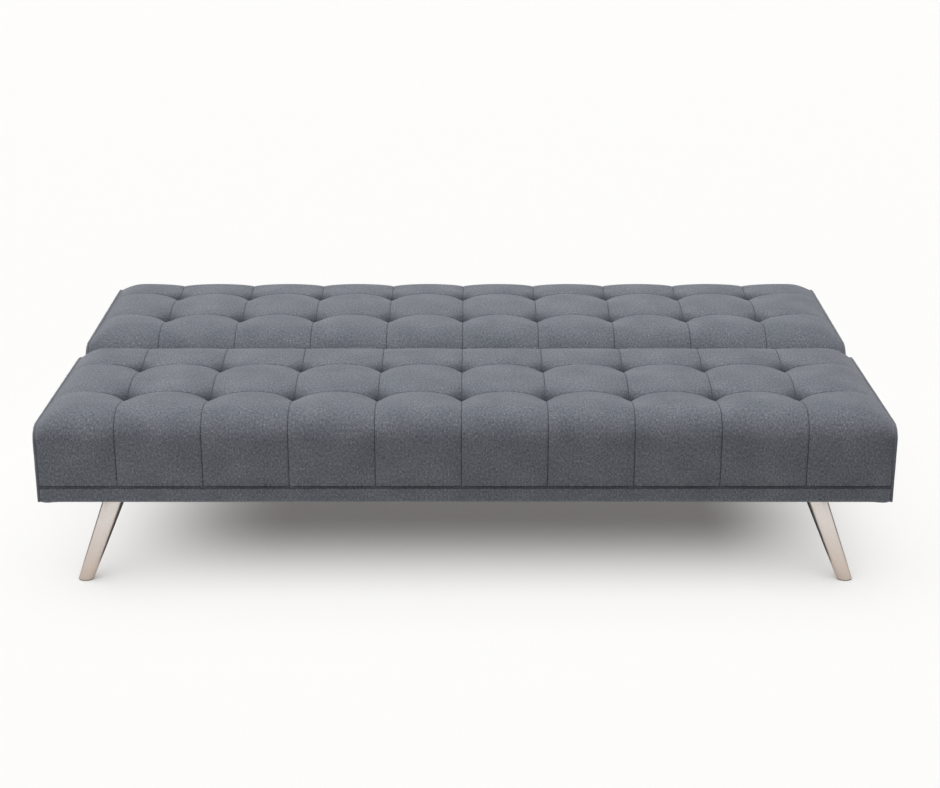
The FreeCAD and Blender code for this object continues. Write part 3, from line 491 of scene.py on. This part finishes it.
class Outline:
    """A pad's outline from the front's lower edge over the top to the rear's lower edge: five stretches,
    which are the front wall, front roll, top, rear roll and rear wall."""

    def __init__(self, front, rear, low_front, low_rear, top, front_roll, rear_roll, rise=0.0):
        self.front, self.rear, self.top, self.rise = front, rear, top, rise
        self.low_front, self.low_rear = low_front, low_rear
        self.front_roll, self.rear_roll = front_roll, rear_roll

    def lengths(self):
        return (self.top - self.front_roll - self.low_front, math.pi / 2 * self.front_roll,
                self.rear - self.rear_roll - self.front - self.front_roll,
                math.pi / 2 * self.rear_roll, self.top - self.rear_roll - self.low_rear)

    def at(self, stretch, share):
        """(y, z) and the outward normal (y, z) at a share of one stretch, with the rise towards the rear."""
        y, z, ny, nz = self.level(stretch, share)
        along = (y - self.front) / (self.rear - self.front)
        return y, z + self.rise * along * (z - self.low_rear) / (self.top - self.low_rear), ny, nz

    def on_roll(self, y, radius, turn):
        c, s = math.cos(turn), math.sin(turn)
        return y + radius * c, self.top - radius + radius * s, c, s

    def level(self, stretch, share):
        """The same without the rise."""
        if stretch == 0:
            return self.front, self.low_front + share * self.lengths()[0], -1.0, 0.0
        if stretch == 1:
            turn = math.pi - share * math.pi / 2
            return self.on_roll(self.front + self.front_roll, self.front_roll, turn)
        if stretch == 2:
            return self.front + self.front_roll + share * self.lengths()[2], self.top, 0.0, 1.0
        if stretch == 3:
            turn = math.pi / 2 - share * math.pi / 2
            return self.on_roll(self.rear - self.rear_roll, self.rear_roll, turn)
        return self.rear, self.top - self.rear_roll - share * self.lengths()[4], 1.0, 0.0


def graded(length, seam_at_start, seam_at_end, coarse=16 * MM):
    """Places from 0 to length, closer together towards a seam at either end."""
    reach = length / 2 if seam_at_start and seam_at_end else length
    steps = [s for s in SEAM_STEPS if s < reach - 8 * MM]
    start = steps if seam_at_start else [0.0]
    end = steps if seam_at_end else [0.0]
    gap = length - start[-1] - end[-1]
    middle = np.linspace(start[-1], length - end[-1], max(2, round(gap / coarse) + 1))[1:-1]
    return np.array([*start, *middle, *(length - e for e in reversed(end))])


def column_places(slot_x):
    """X of the grid's lines along a cover: close together at the seams, with lines at the hinge slots."""
    seams = [COLUMN_SHIFT + COLUMN * k for k in COLUMNS]
    places = [seams[0] - p for p in graded(seams[0] + COVER_X, True, False, 12 * MM)[::-1]]
    for a, b in zip(seams, seams[1:]):
        places += [a + p for p in graded(b - a, True, True)[1:]]
    places += [seams[-1] + p for p in graded(COVER_X - seams[-1], True, False, 12 * MM)[1:]]
    places = [p for p in places if all(abs(abs(p) - s) > 5 * MM for s in slot_x)]
    return np.array(sorted(places + [side * s for side in (-1, 1) for s in slot_x]))


def profile_places(outline, rows):
    """(stretch, share) of the grid's lines across a cover, close together at the rows of tufts."""
    walls = outline.lengths()
    places = [(0, p / walls[0]) for p in (0, 2 * MM, 6 * MM, 13 * MM)]
    places += [(0, p) for p in np.linspace(13 * MM / walls[0], 1, 7)[1:-1]]
    places += [(1, p) for p in np.linspace(0, 1, 12)[:-1]]
    start = outline.front + outline.front_roll
    stops = [start, *rows, start + walls[2]]
    for i, (a, b) in enumerate(zip(stops, stops[1:])):
        steps = graded(b - a, i > 0, i < len(stops) - 2)
        places += [(2, (a + p - start) / walls[2]) for p in steps[:-1]]
    places += [(3, p) for p in np.linspace(0, 1, 12)[:-1]]
    places += [(4, p) for p in np.linspace(0, 1, 10)]
    return places


class Cover:
    """One tufted cover: one cloth over the front, top and rear of a pad."""

    def __init__(self, name, front, rear, low_front, low_rear, rolls, rows, slot, pipe, corners, scallop,
                 body):
        self.name, self.rows, self.slot_x, self.slot_top, self.body = name, rows, slot[:2], slot[2], body
        self.outline = Outline(front, rear, low_front, low_rear, TOP_Z, *rolls)
        self.corners, self.scallop = corners, scallop
        self.edge = Outline(front + PIPE_INSET, rear - PIPE_INSET, low_front, low_rear, TOP_Z - pipe[0],
                            *corners, pipe[1])

    def edge_at(self, stretch, share):
        """The cover's end, where it is sewn to the piping. On top it keeps the place of the rows."""
        y, z, ny, nz = self.edge.at(stretch, share)
        y, z = y + EDGE_LIFT * ny, z + EDGE_LIFT * nz
        if stretch == 2:
            y0, _, _, _ = self.outline.at(2, share)
            lead = self.edge.front + self.corners[0] - self.outline.front - self.outline.front_roll
            trail = self.edge.rear - self.corners[1] - self.outline.rear + self.outline.rear_roll
            y = y0 + lead * (1 - share) ** 8 + trail * share ** 8
        return y, z

    def build(self):
        xs = column_places(self.slot_x)
        places = profile_places(self.outline, self.rows)
        seams = np.array([COLUMN_SHIFT + COLUMN * k for k in COLUMNS])
        column_gap = np.abs(xs[:, None] - seams[None]).min(1)
        points, weave, gaps, profile = [], [], [], []
        run = 0.0
        last = None
        for stretch, share in places:
            y, z, ny, nz = self.outline.at(stretch, share)
            if last is not None:
                run += math.hypot(y - last[0], z - last[1])
            last = (y, z)
            end_y, end_z = self.edge_at(stretch, share)
            nearest = min(self.rows, key=lambda row: abs(y - row))
            row_gap = abs(y - nearest) if stretch == 2 else 1.0
            on_top = (0.0, share, 1.0, 1 - share, 0.0)[stretch]
            points.append([(x, y, z) for x in xs])
            weave.append([(x, run, 0.0) for x in xs])
            gaps.append([(g, row_gap, COVER_X - abs(x)) for g, x in zip(column_gap, xs)])
            profile.append((ny, nz, end_y - y, end_z - z, on_top, y < nearest, nearest == self.rows[1],
                            on_top * smooth((y - self.rows[1]) / SCALLOP_START)))
        self.size = (len(places), len(xs))
        self.points = np.array(points)
        self.weave = np.array(weave)
        self.gaps = np.array(gaps)
        self.shape(np.array(profile, float).T[..., None])

    def shape(self, profile):
        """Draws the grid in at tufts and seams, and down to the piping at the ends. Per line across the
        cover, profile holds the outward normal and the way to the piping (y and z), how far it is on top,
        whether it is in front of its row and whether that is the second row, and how far it is behind it."""
        out_y, out_z, to_end_y, to_end_z, on_top, in_front, second_row, behind = profile
        column_gap, row_gap, edge_gap = np.moveaxis(self.gaps, 2, 0)
        top = smooth(on_top)
        along = np.where(in_front, falloff(row_gap, TUFT_REACH_Y, FRONT_SLOPE),
                         falloff(row_gap, TUFT_REACH_Y))
        tuft = falloff(column_gap, TUFT_REACH_X) * along
        pinch = falloff(np.hypot(column_gap, np.where(in_front, 0.5, 1.0) * row_gap), PINCH_REACH)
        share = np.where(second_row, SECOND_ROW_SHARE, 1.0)
        by_rows = falloff(row_gap, COLUMN_FOLD_REACH, 1)
        column_fold = falloff(column_gap, FOLD_REACH) * (COLUMN_FOLD[0] + COLUMN_FOLD[1] * top * by_rows)
        row_fold = falloff(row_gap, FOLD_REACH) * ROW_FOLD * np.minimum(edge_gap / ROW_END, 1)
        sink = share * (TUFT_DEPTH * tuft + PINCH * pinch) + np.maximum(column_fold, row_fold)
        sink += self.scallop * falloff(column_gap, COLUMN / 2) * behind
        pull = falloff(edge_gap, END_REACH[0] + (END_REACH[1] - END_REACH[0]) * top)
        moved = self.points.copy()
        moved[..., 1] += to_end_y * pull - out_y * sink
        moved[..., 2] += to_end_z * pull - out_z * sink
        self.points = moved

    def in_slot(self, corners):
        """True for a face over the opening that the hinge plates pass through."""
        centre = self.points.reshape(-1, 3)[list(corners)].mean(0)
        towards_hinge = abs(centre[1] - HINGE.y) < SLOT_REACH
        at_plates = self.slot_x[0] < abs(centre[0]) < self.slot_x[1]
        return towards_hinge and at_plates and SLOT_LOW_Z < centre[2] < self.slot_top

    def mesh(self):
        rows, columns = self.size
        faces = [f for f in grid_faces(rows, columns) if not self.in_slot(f)]
        return mesh_object(self.name, self.points, faces, self.weave, self.gaps)


def settle(cover):
    """Lets the pad puff its cover up between the places where stitching and piping hold it."""
    rows, columns = cover.size
    made = mesh_object(cover.name + "_drape", cover.points, grid_faces(rows, columns))
    column_gap, row_gap, edge_gap = (g.ravel() for g in np.moveaxis(cover.gaps, 2, 0))
    seam_hold = np.maximum(0.85 * falloff(column_gap, 12 * MM, 1), 0.97 * falloff(row_gap, 20 * MM, 1))
    tuft_hold = falloff(np.hypot(column_gap, row_gap), 14 * MM, 1) > 0.3
    line = np.arange(rows).repeat(columns)
    border = (line < 4) | (line > rows - 5) | (edge_gap < 6 * MM)
    near_hinge = np.abs(np.abs(cover.points.reshape(-1, 3)[:, 0]) - sum(cover.slot_x) / 2) < 14 * MM
    hold = np.where(border | tuft_hold | near_hinge, 1.0, seam_hold)
    group = made.vertex_groups.new(name="held")
    for i, weight in enumerate(hold):
        group.add([i], float(weight), "REPLACE")
    modifier = made.modifiers.new("cloth", "CLOTH")
    modifier.point_cache.frame_start = 1
    modifier.point_cache.frame_end = LAST_FRAME
    settings = modifier.settings
    settings.vertex_group_mass = "held"
    settings.quality = 5
    settings.tension_stiffness = settings.compression_stiffness = 15
    settings.bending_stiffness = 0.3
    settings.use_pressure = True
    settings.uniform_pressure_force = PRESSURE
    settings.effector_weights.gravity = 0
    for frame_number in range(1, LAST_FRAME + 1):
        bpy.context.scene.frame_set(frame_number)
    settled = made.evaluated_get(bpy.context.evaluated_depsgraph_get())
    moved = read_points(settled.data) - cover.points.reshape(-1, 3)
    distance = np.linalg.norm(moved, axis=1, keepdims=True)
    moved *= np.minimum(1, MOST_MOVED / np.maximum(distance, 1e-9))
    cover.points = cover.points + moved.reshape(cover.points.shape)
    bpy.context.scene.frame_set(1)
    bpy.data.objects.remove(made)


def press_seams(made):
    """Draws the finished cloth into sharp grooves along its stitched lines."""
    mesh = made.data
    gaps = read_vector_attribute(mesh, "seam")
    normals = np.zeros(len(mesh.vertices) * 3, np.float32)
    mesh.vertices.foreach_get("normal", normals)
    ending = smooth((gaps[:, 2] - 25 * MM) / (75 * MM))
    groove = np.maximum(COLUMN_GROOVE * falloff(gaps[:, 0], 2.2 * MM, 1.5),
                        ROW_GROOVE * falloff(gaps[:, 1], 2.6 * MM, 1.5) * ending)
    write_points(mesh, read_points(mesh) - normals.reshape(-1, 3) * groove[:, None])


def make_cover(cover, material, replaces):
    cover.build()
    settle(cover)
    made = cover.mesh()
    subdivide(made)
    press_seams(made)
    thicken(made, CLOTH)
    finish_piece(made, cover.body, material, replaces)


def pipe_path(cover, low_front, low_rear):
    """The piping's centre line in the plane of the end: up the front, along the top, down the rear."""
    edge = Outline(cover.edge.front, cover.edge.rear, low_front, low_rear, cover.edge.top, *cover.corners,
                   cover.edge.rise)
    path = []
    for stretch, steps in enumerate((12, 8, 40, 8, 12)):
        path += [edge.at(stretch, share) for share in np.linspace(0, 1, steps + 1)[:-1]]
    return path + [edge.at(4, 1.0)]


def make_piping(cover, name, low_front, low_rear, material, replaces):
    """A cloth-covered cord round both ends of a module, cut on the bias, slightly uneven."""
    path = pipe_path(cover, low_front, low_rear)
    points, faces, weave, gaps = [], [], [], []
    for side in (-1, 1):
        first = len(points)
        run = 0.0
        for i, (y, z, ny, nz) in enumerate(path):
            if i:
                run += math.hypot(y - path[i - 1][0], z - path[i - 1][1])
            radius = PIPE_R * (1 + 0.04 * rng.standard_normal())
            for j in range(PIPE_SIDES):
                a = 2 * math.pi * j / PIPE_SIDES
                out, across = radius * math.cos(a), radius * math.sin(a)
                points.append((side * (PIPE_X + across), y + ny * out, z + nz * out))
                turned = a * PIPE_R
                weave.append(((run + turned) * 0.707, (run - turned) * 0.707, 0.0))
                # The gap is measured round the cord from its inner side, so the cloth paints shade where the cord
                # meets the cover
                gaps.append((1.0, 1.0, abs(math.remainder(a - 1.5 * math.pi, 2 * math.pi)) * PIPE_R))
        faces += [tuple(first + v for v in (f if side > 0 else f[::-1]))
                  for f in grid_faces(len(path), PIPE_SIDES, True)]
        start = range(first, first + PIPE_SIDES)
        end = range(len(points) - PIPE_SIDES, len(points))
        faces += [tuple(start[::side]), tuple(end[::-side])]
    made = mesh_object(name, points, faces, weave, gaps)
    finish_piece(made, cover.body, material, replaces)


def corner_drop(inside, corner):
    """How far a rounded corner's edge lies below the top, at a distance from the side."""
    dip = corner - np.clip(inside, 0, corner)
    return corner - np.sqrt(corner ** 2 - dip ** 2)


def panel_x(y, z, top, low_z, full, near, phase):
    """How far out a padded panel's face is: crowned, rippled near its seams and tucked in at them."""
    crown = (1 - falloff(top - z, 0.075, 2.4)) * (1 - 0.62 * falloff(z - low_z, 0.05, 2.0))
    ripple = 0.35 * MM * math.sin(2 * math.pi * (y + z) / (41 * MM) + phase) * falloff(near, 30 * MM)
    tuck = 1.2 * MM * falloff(near, 4 * MM)
    return PANEL_IN_X + (PANEL_OUT_X - PANEL_IN_X) * full * crown + ripple - tuck


def make_side_panels(cover, name, node_name, low_z, material, replaces):
    """Both padded end panels of a module, inside the piping, with a hem turned under."""
    low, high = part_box(node_name)
    panel_top = cover.edge.top - PANEL_GAP
    front, rear = (corner - PANEL_GAP for corner in cover.corners)
    quarter = 1 - np.cos(np.linspace(0, math.pi / 2, 9))
    middle = np.linspace(low.y + front, high.y - rear, 31)[1:-1]
    ys = np.concatenate([low.y + front * quarter, middle, high.y - rear * quarter[::-1]])
    tops = panel_top - corner_drop(ys - low.y, front) - corner_drop(high.y - ys, rear)
    tops += cover.edge.rise * (ys - low.y) / (high.y - low.y)
    rises = np.concatenate([[0.0, 0.02, 0.05], np.linspace(0.1, 0.9, 13), [0.94, 0.975, 1.0]])
    points, faces, weave, gaps = [], [], [], []
    for side in (-1, 1):
        first = len(points)
        phase = rng.uniform(0, 2 * math.pi)
        for y, top in zip(ys, tops):
            from_side = min(y - low.y, high.y - y)
            middle_off = (y - low.y) / (high.y - low.y) - 0.5
            full = (1 - falloff(from_side, 0.07, 2.4)) * (1 - 0.10 * middle_off ** 2)
            for depth in HEM_STEPS:
                points.append((side * (PANEL_IN_X + 0.2 * MM - depth), y, low_z - 0.4 * MM))
                weave.append((y, low_z - 4 * MM - depth, 0.0))
                gaps.append((1.0, 1.0, 1.0))
            for rise in rises:
                z = low_z + rise * (top - low_z)
                near = min(from_side, top - z)
                points.append((side * panel_x(y, z, top, low_z, full, near, phase), y, z))
                weave.append((y, z, 0.0))
                # Near the panel's top and ends the cloth paints shade, where the panel tucks in under the piping
                gaps.append((1.0, 1.0, near))
        faces += [tuple(first + v for v in (f if side < 0 else f[::-1]))
                  for f in grid_faces(len(ys), len(HEM_STEPS) + len(rises))]
    made = mesh_object(name, points, faces, weave, gaps)
    subdivide(made)
    thicken(made, CLOTH)
    finish_piece(made, cover.body, material, replaces)


def make_front_band(material):
    """The plain strip under the front: drawn into the crease above, turned under and stapled below."""
    rim = np.array([0, 1, 3, 6, 11, 18, 28, 42, 60]) * MM
    places = np.concatenate([rim - COVER_X, np.linspace(84 * MM - COVER_X, COVER_X - 84 * MM, 72),
                             (COVER_X - rim)[::-1]])
    slack = rng.standard_normal(len(places)) * 0.12 * MM
    points, weave, gaps = [], [], []
    for x, loose in zip(places, slack):
        end = COVER_X - abs(x)
        run = 0.0
        for i, (inward, up) in enumerate(BAND_PROFILE):
            if i:
                run += math.dist(BAND_PROFILE[i - 1], (inward, up)) * MM
            y = band_low.y + inward * MM + 2.4 * MM * falloff(end, 7 * MM)
            z = band_low.z + up * MM
            fold = 2.2 * MM * falloff(end - 14 * MM, 16 * MM, 1) * (up < 1.9)
            points.append((x, y + loose * (3 < i < 8), z - fold))
            weave.append((x, run, 0.0))
            # Small gaps at the band's top and ends make the cloth paint shade in the crease above and at its ends
            gaps.append((1.0, 1.0, min(end, 1.0 if i > 3 else abs(inward) * 0.5 * MM + 0.2 * MM)))
        gaps[-len(BAND_PROFILE)] = (1.0, 1.0, 0.0)
    faces = [f[::-1] for f in grid_faces(len(places), len(BAND_PROFILE))]
    made = mesh_object("front_band", points, faces, weave, gaps)
    subdivide(made)
    thicken(made, BAND_CLOTH)
    finish_piece(made, "base", material, ["seat_front_band"])


def make_dust_cover(material):
    """Black non-woven cloth stapled under the seat, sagging a little between the rails, with a corner left
    out round each front leg's plate. Returns its outer x, front, rear and underside."""
    low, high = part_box("seat_dust_cover")
    plates_low, plates_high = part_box("leg_plates")
    plate_in, plate_out = plates_high.x - PLATE_LENGTHS[0], plates_high.x + 1 * MM
    plate_front, plate_rear = plates_low.y - 1 * MM, plates_low.y + PLATE_LENGTHS[1]
    outer = [*np.linspace(plate_in, plate_out, 4), *np.linspace(plate_out, high.x - DUST_INSET, 6)]
    xs = np.array(sorted({*np.linspace(-plate_in, plate_in, 61), *outer, *(-x for x in outer)}))
    ys = np.array(sorted({*np.linspace(low.y + DUST_INSET, plate_front, 4),
                          *np.linspace(plate_front, plate_rear, 6),
                          *np.linspace(plate_rear, high.y - DUST_INSET, 16)}))
    rails = DUST_RAILS_X
    points, weave = [], []
    for y in ys:
        for x in xs:
            bay = np.searchsorted(rails, x).clip(1, len(rails) - 1)
            across = math.sin(math.pi * (x - rails[bay - 1]) / (rails[bay] - rails[bay - 1]))
            along = math.sin(math.pi * (y - ys[0]) / (ys[-1] - ys[0]))
            sag = DUST_SAG * abs(across) * along ** 0.6 * (rails[bay] - rails[bay - 1]) / np.diff(rails).max()
            crease = 0.35 * MM * math.sin(70 * x + 9 * math.sin(11 * y)) * (1 - along)
            points.append((x, y, low.z - 1.4 * MM - sag + crease))
            weave.append((x, y, 0.0))
    faces = []
    for f in grid_faces(len(ys), len(xs)):
        centre = np.mean([points[v] for v in f], 0)
        if not (plate_in < abs(centre[0]) < plate_out and plate_front < centre[1] < plate_rear):
            faces.append(f)
    made = mesh_object("dust_cover_cloth", points, faces, weave)
    subdivide(made)
    thicken(made, DUST_CLOTH)
    finish_piece(made, "base", material, ["seat_dust_cover"])
    return xs[-1], ys[0], ys[-1], low.z - 1.9 * MM


def make_staples(reach_x, front, rear, height, material):
    """Wire staples round the edge of the dust cover."""
    inset, half, corner = 5 * MM, STAPLE_CROWN / 2, 0.5 * MM
    places = [(x, y, 0.0) for y in (front + inset, rear - inset)
              for x in np.linspace(-reach_x + 30 * MM, reach_x - 30 * MM, STAPLES_ALONG[0])]
    places += [(x, y, math.pi / 2) for x in (-reach_x + inset, reach_x - inset)
               for y in np.linspace(front + 40 * MM, rear - 40 * MM, STAPLES_ALONG[1])]
    section = [(STAPLE_WIRE_R * math.cos(a), STAPLE_WIRE_R * 0.7 * math.sin(a))
               for a in np.linspace(0, 2 * math.pi, 9)[:-1]]
    line = [(-half, 1.6 * MM), (-half, 0.4 * MM), (-half + corner, 0.0),
            (half - corner, 0.0), (half, 0.4 * MM), (half, 1.6 * MM)]
    sides, count = len(section), len(line) * len(section)
    points, faces = [], []
    for x, y, turn in places:
        turn += rng.normal(0, 0.12)
        c, s = math.cos(turn), math.sin(turn)
        first = len(points)
        for i, (along, up) in enumerate(line):
            ahead = Vector(line[min(i + 1, len(line) - 1)]) - Vector(line[max(i - 1, 0)])
            normal = Vector((-ahead.y, ahead.x)).normalized()
            for across, out in section:
                a, b, z = along + normal.x * out, across, up + normal.y * out
                points.append((x + a * c - b * s, y + a * s + b * c, height + z))
        faces += [tuple(first + v for v in f) for f in grid_faces(len(line), sides, True)]
        faces += [tuple(range(first, first + sides)), tuple(first + count - 1 - v for v in range(sides))]
    made = mesh_object("dust_cover_staples", points, faces)
    finish_piece(made, "base", material)


def make_rear_panel(material):
    """The cloth that closes the underside of the back, sewn in a crease round its edge."""
    low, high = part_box("back_rear_panel")
    rim = np.array([0, 1.5, 4, 8, 14, 24]) * MM
    xs = np.concatenate([low.x + rim, np.linspace(low.x + 0.05, high.x - 0.05, 41), (high.x - rim)[::-1]])
    ys = np.concatenate([low.y + rim, np.linspace(low.y + 0.05, high.y - 0.05, 13), (high.y - rim)[::-1]])
    points, weave, gaps = [], [], []
    for y in ys:
        for x in xs:
            rim_gap = min(x - low.x, high.x - x, y - low.y, high.y - y)
            ripple = 0.25 * MM * (1 + math.sin(23 * x + 3 * math.sin(8 * y))) * falloff(rim_gap, 0.12)
            points.append((x, y, low.z + 0.1 * MM + ripple + 3.2 * MM * falloff(rim_gap, 8 * MM, 2.5)))
            weave.append((x, y, 0.0))
            # Near the rim the cloth paints shade in the sewn crease
            gaps.append((1.0, 1.0, rim_gap))
    faces = [f[::-1] for f in grid_faces(len(ys), len(xs))]
    made = mesh_object("back_underside_cloth", points, faces, weave, gaps)
    subdivide(made)
    thicken(made, BAND_CLOTH)
    finish_piece(made, "backrest", material, ["back_rear_panel"])


seat_low, seat_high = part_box("seat_cover")
back_low, back_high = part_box("back_cover")
band_low, band_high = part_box("seat_front_band")

seat = Cover("seat_tufted_cover", seat_low.y, seat_high.y, band_high.z + 0.6 * MM, seat_low.z,
             (OUTER_ROLL, INNER_ROLL), SEAT_ROWS, SEAT_SLOT, SEAT_PIPE, SEAT_PIPE_CORNERS, SEAT_SCALLOP,
             "base")
back = Cover("back_tufted_cover", back_low.y, back_high.y, back_low.z, back_low.z,
             (INNER_ROLL, OUTER_ROLL), BACK_ROWS, BACK_SLOT, BACK_PIPE, BACK_PIPE_CORNERS, BACK_SCALLOP,
             "backrest")

finish_cad_nodes()
make_cover(seat, cloth, ["seat_cover", "seat_wadding"])
make_cover(back, cloth, ["back_cover", "back_wadding"])
make_piping(seat, "seat_piping_cord", seat_low.z, seat_low.z, cloth, ["seat_piping"])
make_piping(back, "back_piping_cord", back_low.z, back_low.z, cloth, ["back_piping"])
make_side_panels(seat, "seat_padded_side_panels", "seat_side_panels", seat_low.z, cloth,
                 ["seat_side_panels", "seat_side_padding"])
make_side_panels(back, "back_padded_side_panels", "back_side_panels", back_low.z, cloth,
                 ["back_side_panels", "back_side_padding"])
make_front_band(cloth)
make_rear_panel(cloth)
make_staples(*make_dust_cover(non_woven), zinc)


# Stage

def make_floor():
    size = 20.0
    corners = [(-size, -size, 0), (size, -size, 0), (size, size, 0), (-size, size, 0)]
    floor = mesh_object("floor", corners, [(0, 1, 2, 3)])
    material, _, shader = new_material("pale_floor", Roughness=0.9)
    shader.inputs["Base Color"].default_value = (0.82, 0.82, 0.815, 1)
    shader.inputs["Specular IOR Level"].default_value = 0.1
    # The floor glows faintly and evenly warm, which lifts and warms the shadow under the bed
    shader.inputs["Emission Color"].default_value = (1.0, 0.955, 0.90, 1)
    shader.inputs["Emission Strength"].default_value = 0.138
    floor.data.materials.append(material)
    return floor


def make_flag():
    """A card under the bed that only casts the floor light's shadow."""
    corners = [(FLAG_X[i], FLAG_Y[j], FLAG_Z) for i, j in ((0, 0), (1, 0), (1, 1), (0, 1))]
    flag = mesh_object("shadow_flag", corners, [(0, 1, 2, 3)])
    flag.visible_camera = flag.visible_glossy = flag.visible_diffuse = flag.visible_transmission = False
    return flag


def make_leg_cards():
    """Dark cards behind the front legs and beside them, on the inside, where they lean as the legs do. They
    are seen only in the legs' metal, as dark edge lines."""
    material, _, shader = new_material("dark_card", Roughness=1.0)
    shader.inputs["Base Color"].default_value = (0.10, 0.10, 0.10, 1)
    low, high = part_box("leg_front_right")
    corners, faces = [], []
    for side in (-1, 1):
        inner, outer, lean = side * (low.x - 0.05), side * (high.x + 0.12), side * LEG_LEAN
        for start, end in (((inner, high.y + 0.03), (outer, high.y + 0.03)),
                           ((inner, low.y + 0.012), (inner, high.y + 0.03))):
            first = len(corners)
            corners += [(start[0] + lean, start[1], 0.0), (end[0] + lean, end[1], 0.0)]
            corners += [(*end, high.z), (*start, high.z)]
            faces.append((first, first + 1, first + 2, first + 3))
    cards = mesh_object("leg_cards", corners, faces)
    cards.data.materials.append(material)
    cards.visible_camera = cards.visible_diffuse = cards.visible_shadow = False


def link_collection(name, members, state):
    """A light linking collection with one state for all its members."""
    made = bpy.data.collections.new(name)
    for i, member in enumerate(members):
        made.objects.link(member)
        made.collection_objects[i].light_linking.link_state = state
    return made


def make_sun(name, energy, angle, tilt_x, tilt_y):
    """A very soft lamp overhead."""
    sun = bpy.data.lights.new(name, "SUN")
    sun.energy = energy
    sun.angle = math.radians(angle)
    holder = bpy.data.objects.new(name, sun)
    holder.rotation_euler = (math.radians(tilt_x), math.radians(tilt_y), 0)
    bpy.context.scene.collection.objects.link(holder)
    return holder.light_linking


def make_box(name, energy, width, place, target):
    """A soft box that does not show in the metal."""
    box = bpy.data.lights.new(name, "AREA")
    box.shape = "RECTANGLE"
    box.energy = energy
    box.size, box.size_y = width, 1.0
    holder = bpy.data.objects.new(name, box)
    holder.location = place
    holder.rotation_euler = (Vector(target) - holder.location).to_track_quat("-Z", "Y").to_euler()
    holder.visible_glossy = False
    bpy.context.scene.collection.objects.link(holder)
    return holder.light_linking


def make_light(floor, flag):
    """A lamp and two soft boxes light all but the floor. Another lamp, shaded by the flag and the legs,
    lights the floor."""
    fill = make_box("fill_light", FILL_ENERGY, 1.0, (-1.75, -1.75, 0.9), (-0.6, -0.3, 0.3))
    rim = make_box("rim_light", RIM_ENERGY, 2.0, (0.0, 1.9, 0.85), (0.0, 0.45, 0.35))
    for linking in (make_sun("key_light", KEY_ENERGY, 18, -3, -8), fill, rim):
        linking.receiver_collection = link_collection("bed_receivers", [floor], "EXCLUDE")
        linking.blocker_collection = link_collection("bed_blockers", [flag], "EXCLUDE")
    legs = [frame["nodes"][name] for name in LEG_NODES]
    under = make_sun("floor_light", FLOOR_ENERGY, 86, 0, -8)
    under.receiver_collection = link_collection("floor_receivers", [floor], "INCLUDE")
    under.blocker_collection = link_collection("floor_blockers", [flag, *legs], "INCLUDE")
    world = bpy.data.worlds.new("studio")
    world.use_nodes = True
    bpy.context.scene.world = world
    tree = world.node_tree
    path = node(tree, "LightPath")
    seen = calc(tree, "MAXIMUM", path.outputs["Is Camera Ray"], path.outputs["Is Glossy Ray"])
    strength = map_range(tree, seen, 0, 1, WORLD_FILL, 1.0)
    background = tree.nodes["Background"]
    background.inputs["Color"].default_value = (1, 1, 1, 1)
    tree.links.new(strength, background.inputs["Strength"])


def make_camera():
    """The studio camera: 3.26 m in front of the bed and 1.55 m up, looking 19 degrees down."""
    camera = bpy.data.cameras.new("camera")
    camera.lens = LENS
    camera.sensor_width = SENSOR
    holder = bpy.data.objects.new("camera", camera)
    holder.location = CAMERA_PLACE
    holder.rotation_euler = (math.radians(90 - CAMERA_DOWN), 0, 0)
    bpy.context.scene.collection.objects.link(holder)
    bpy.context.scene.camera = holder


make_light(make_floor(), make_flag())
make_leg_cards()
make_camera()
bpy.context.scene.view_settings.view_transform = "Standard"
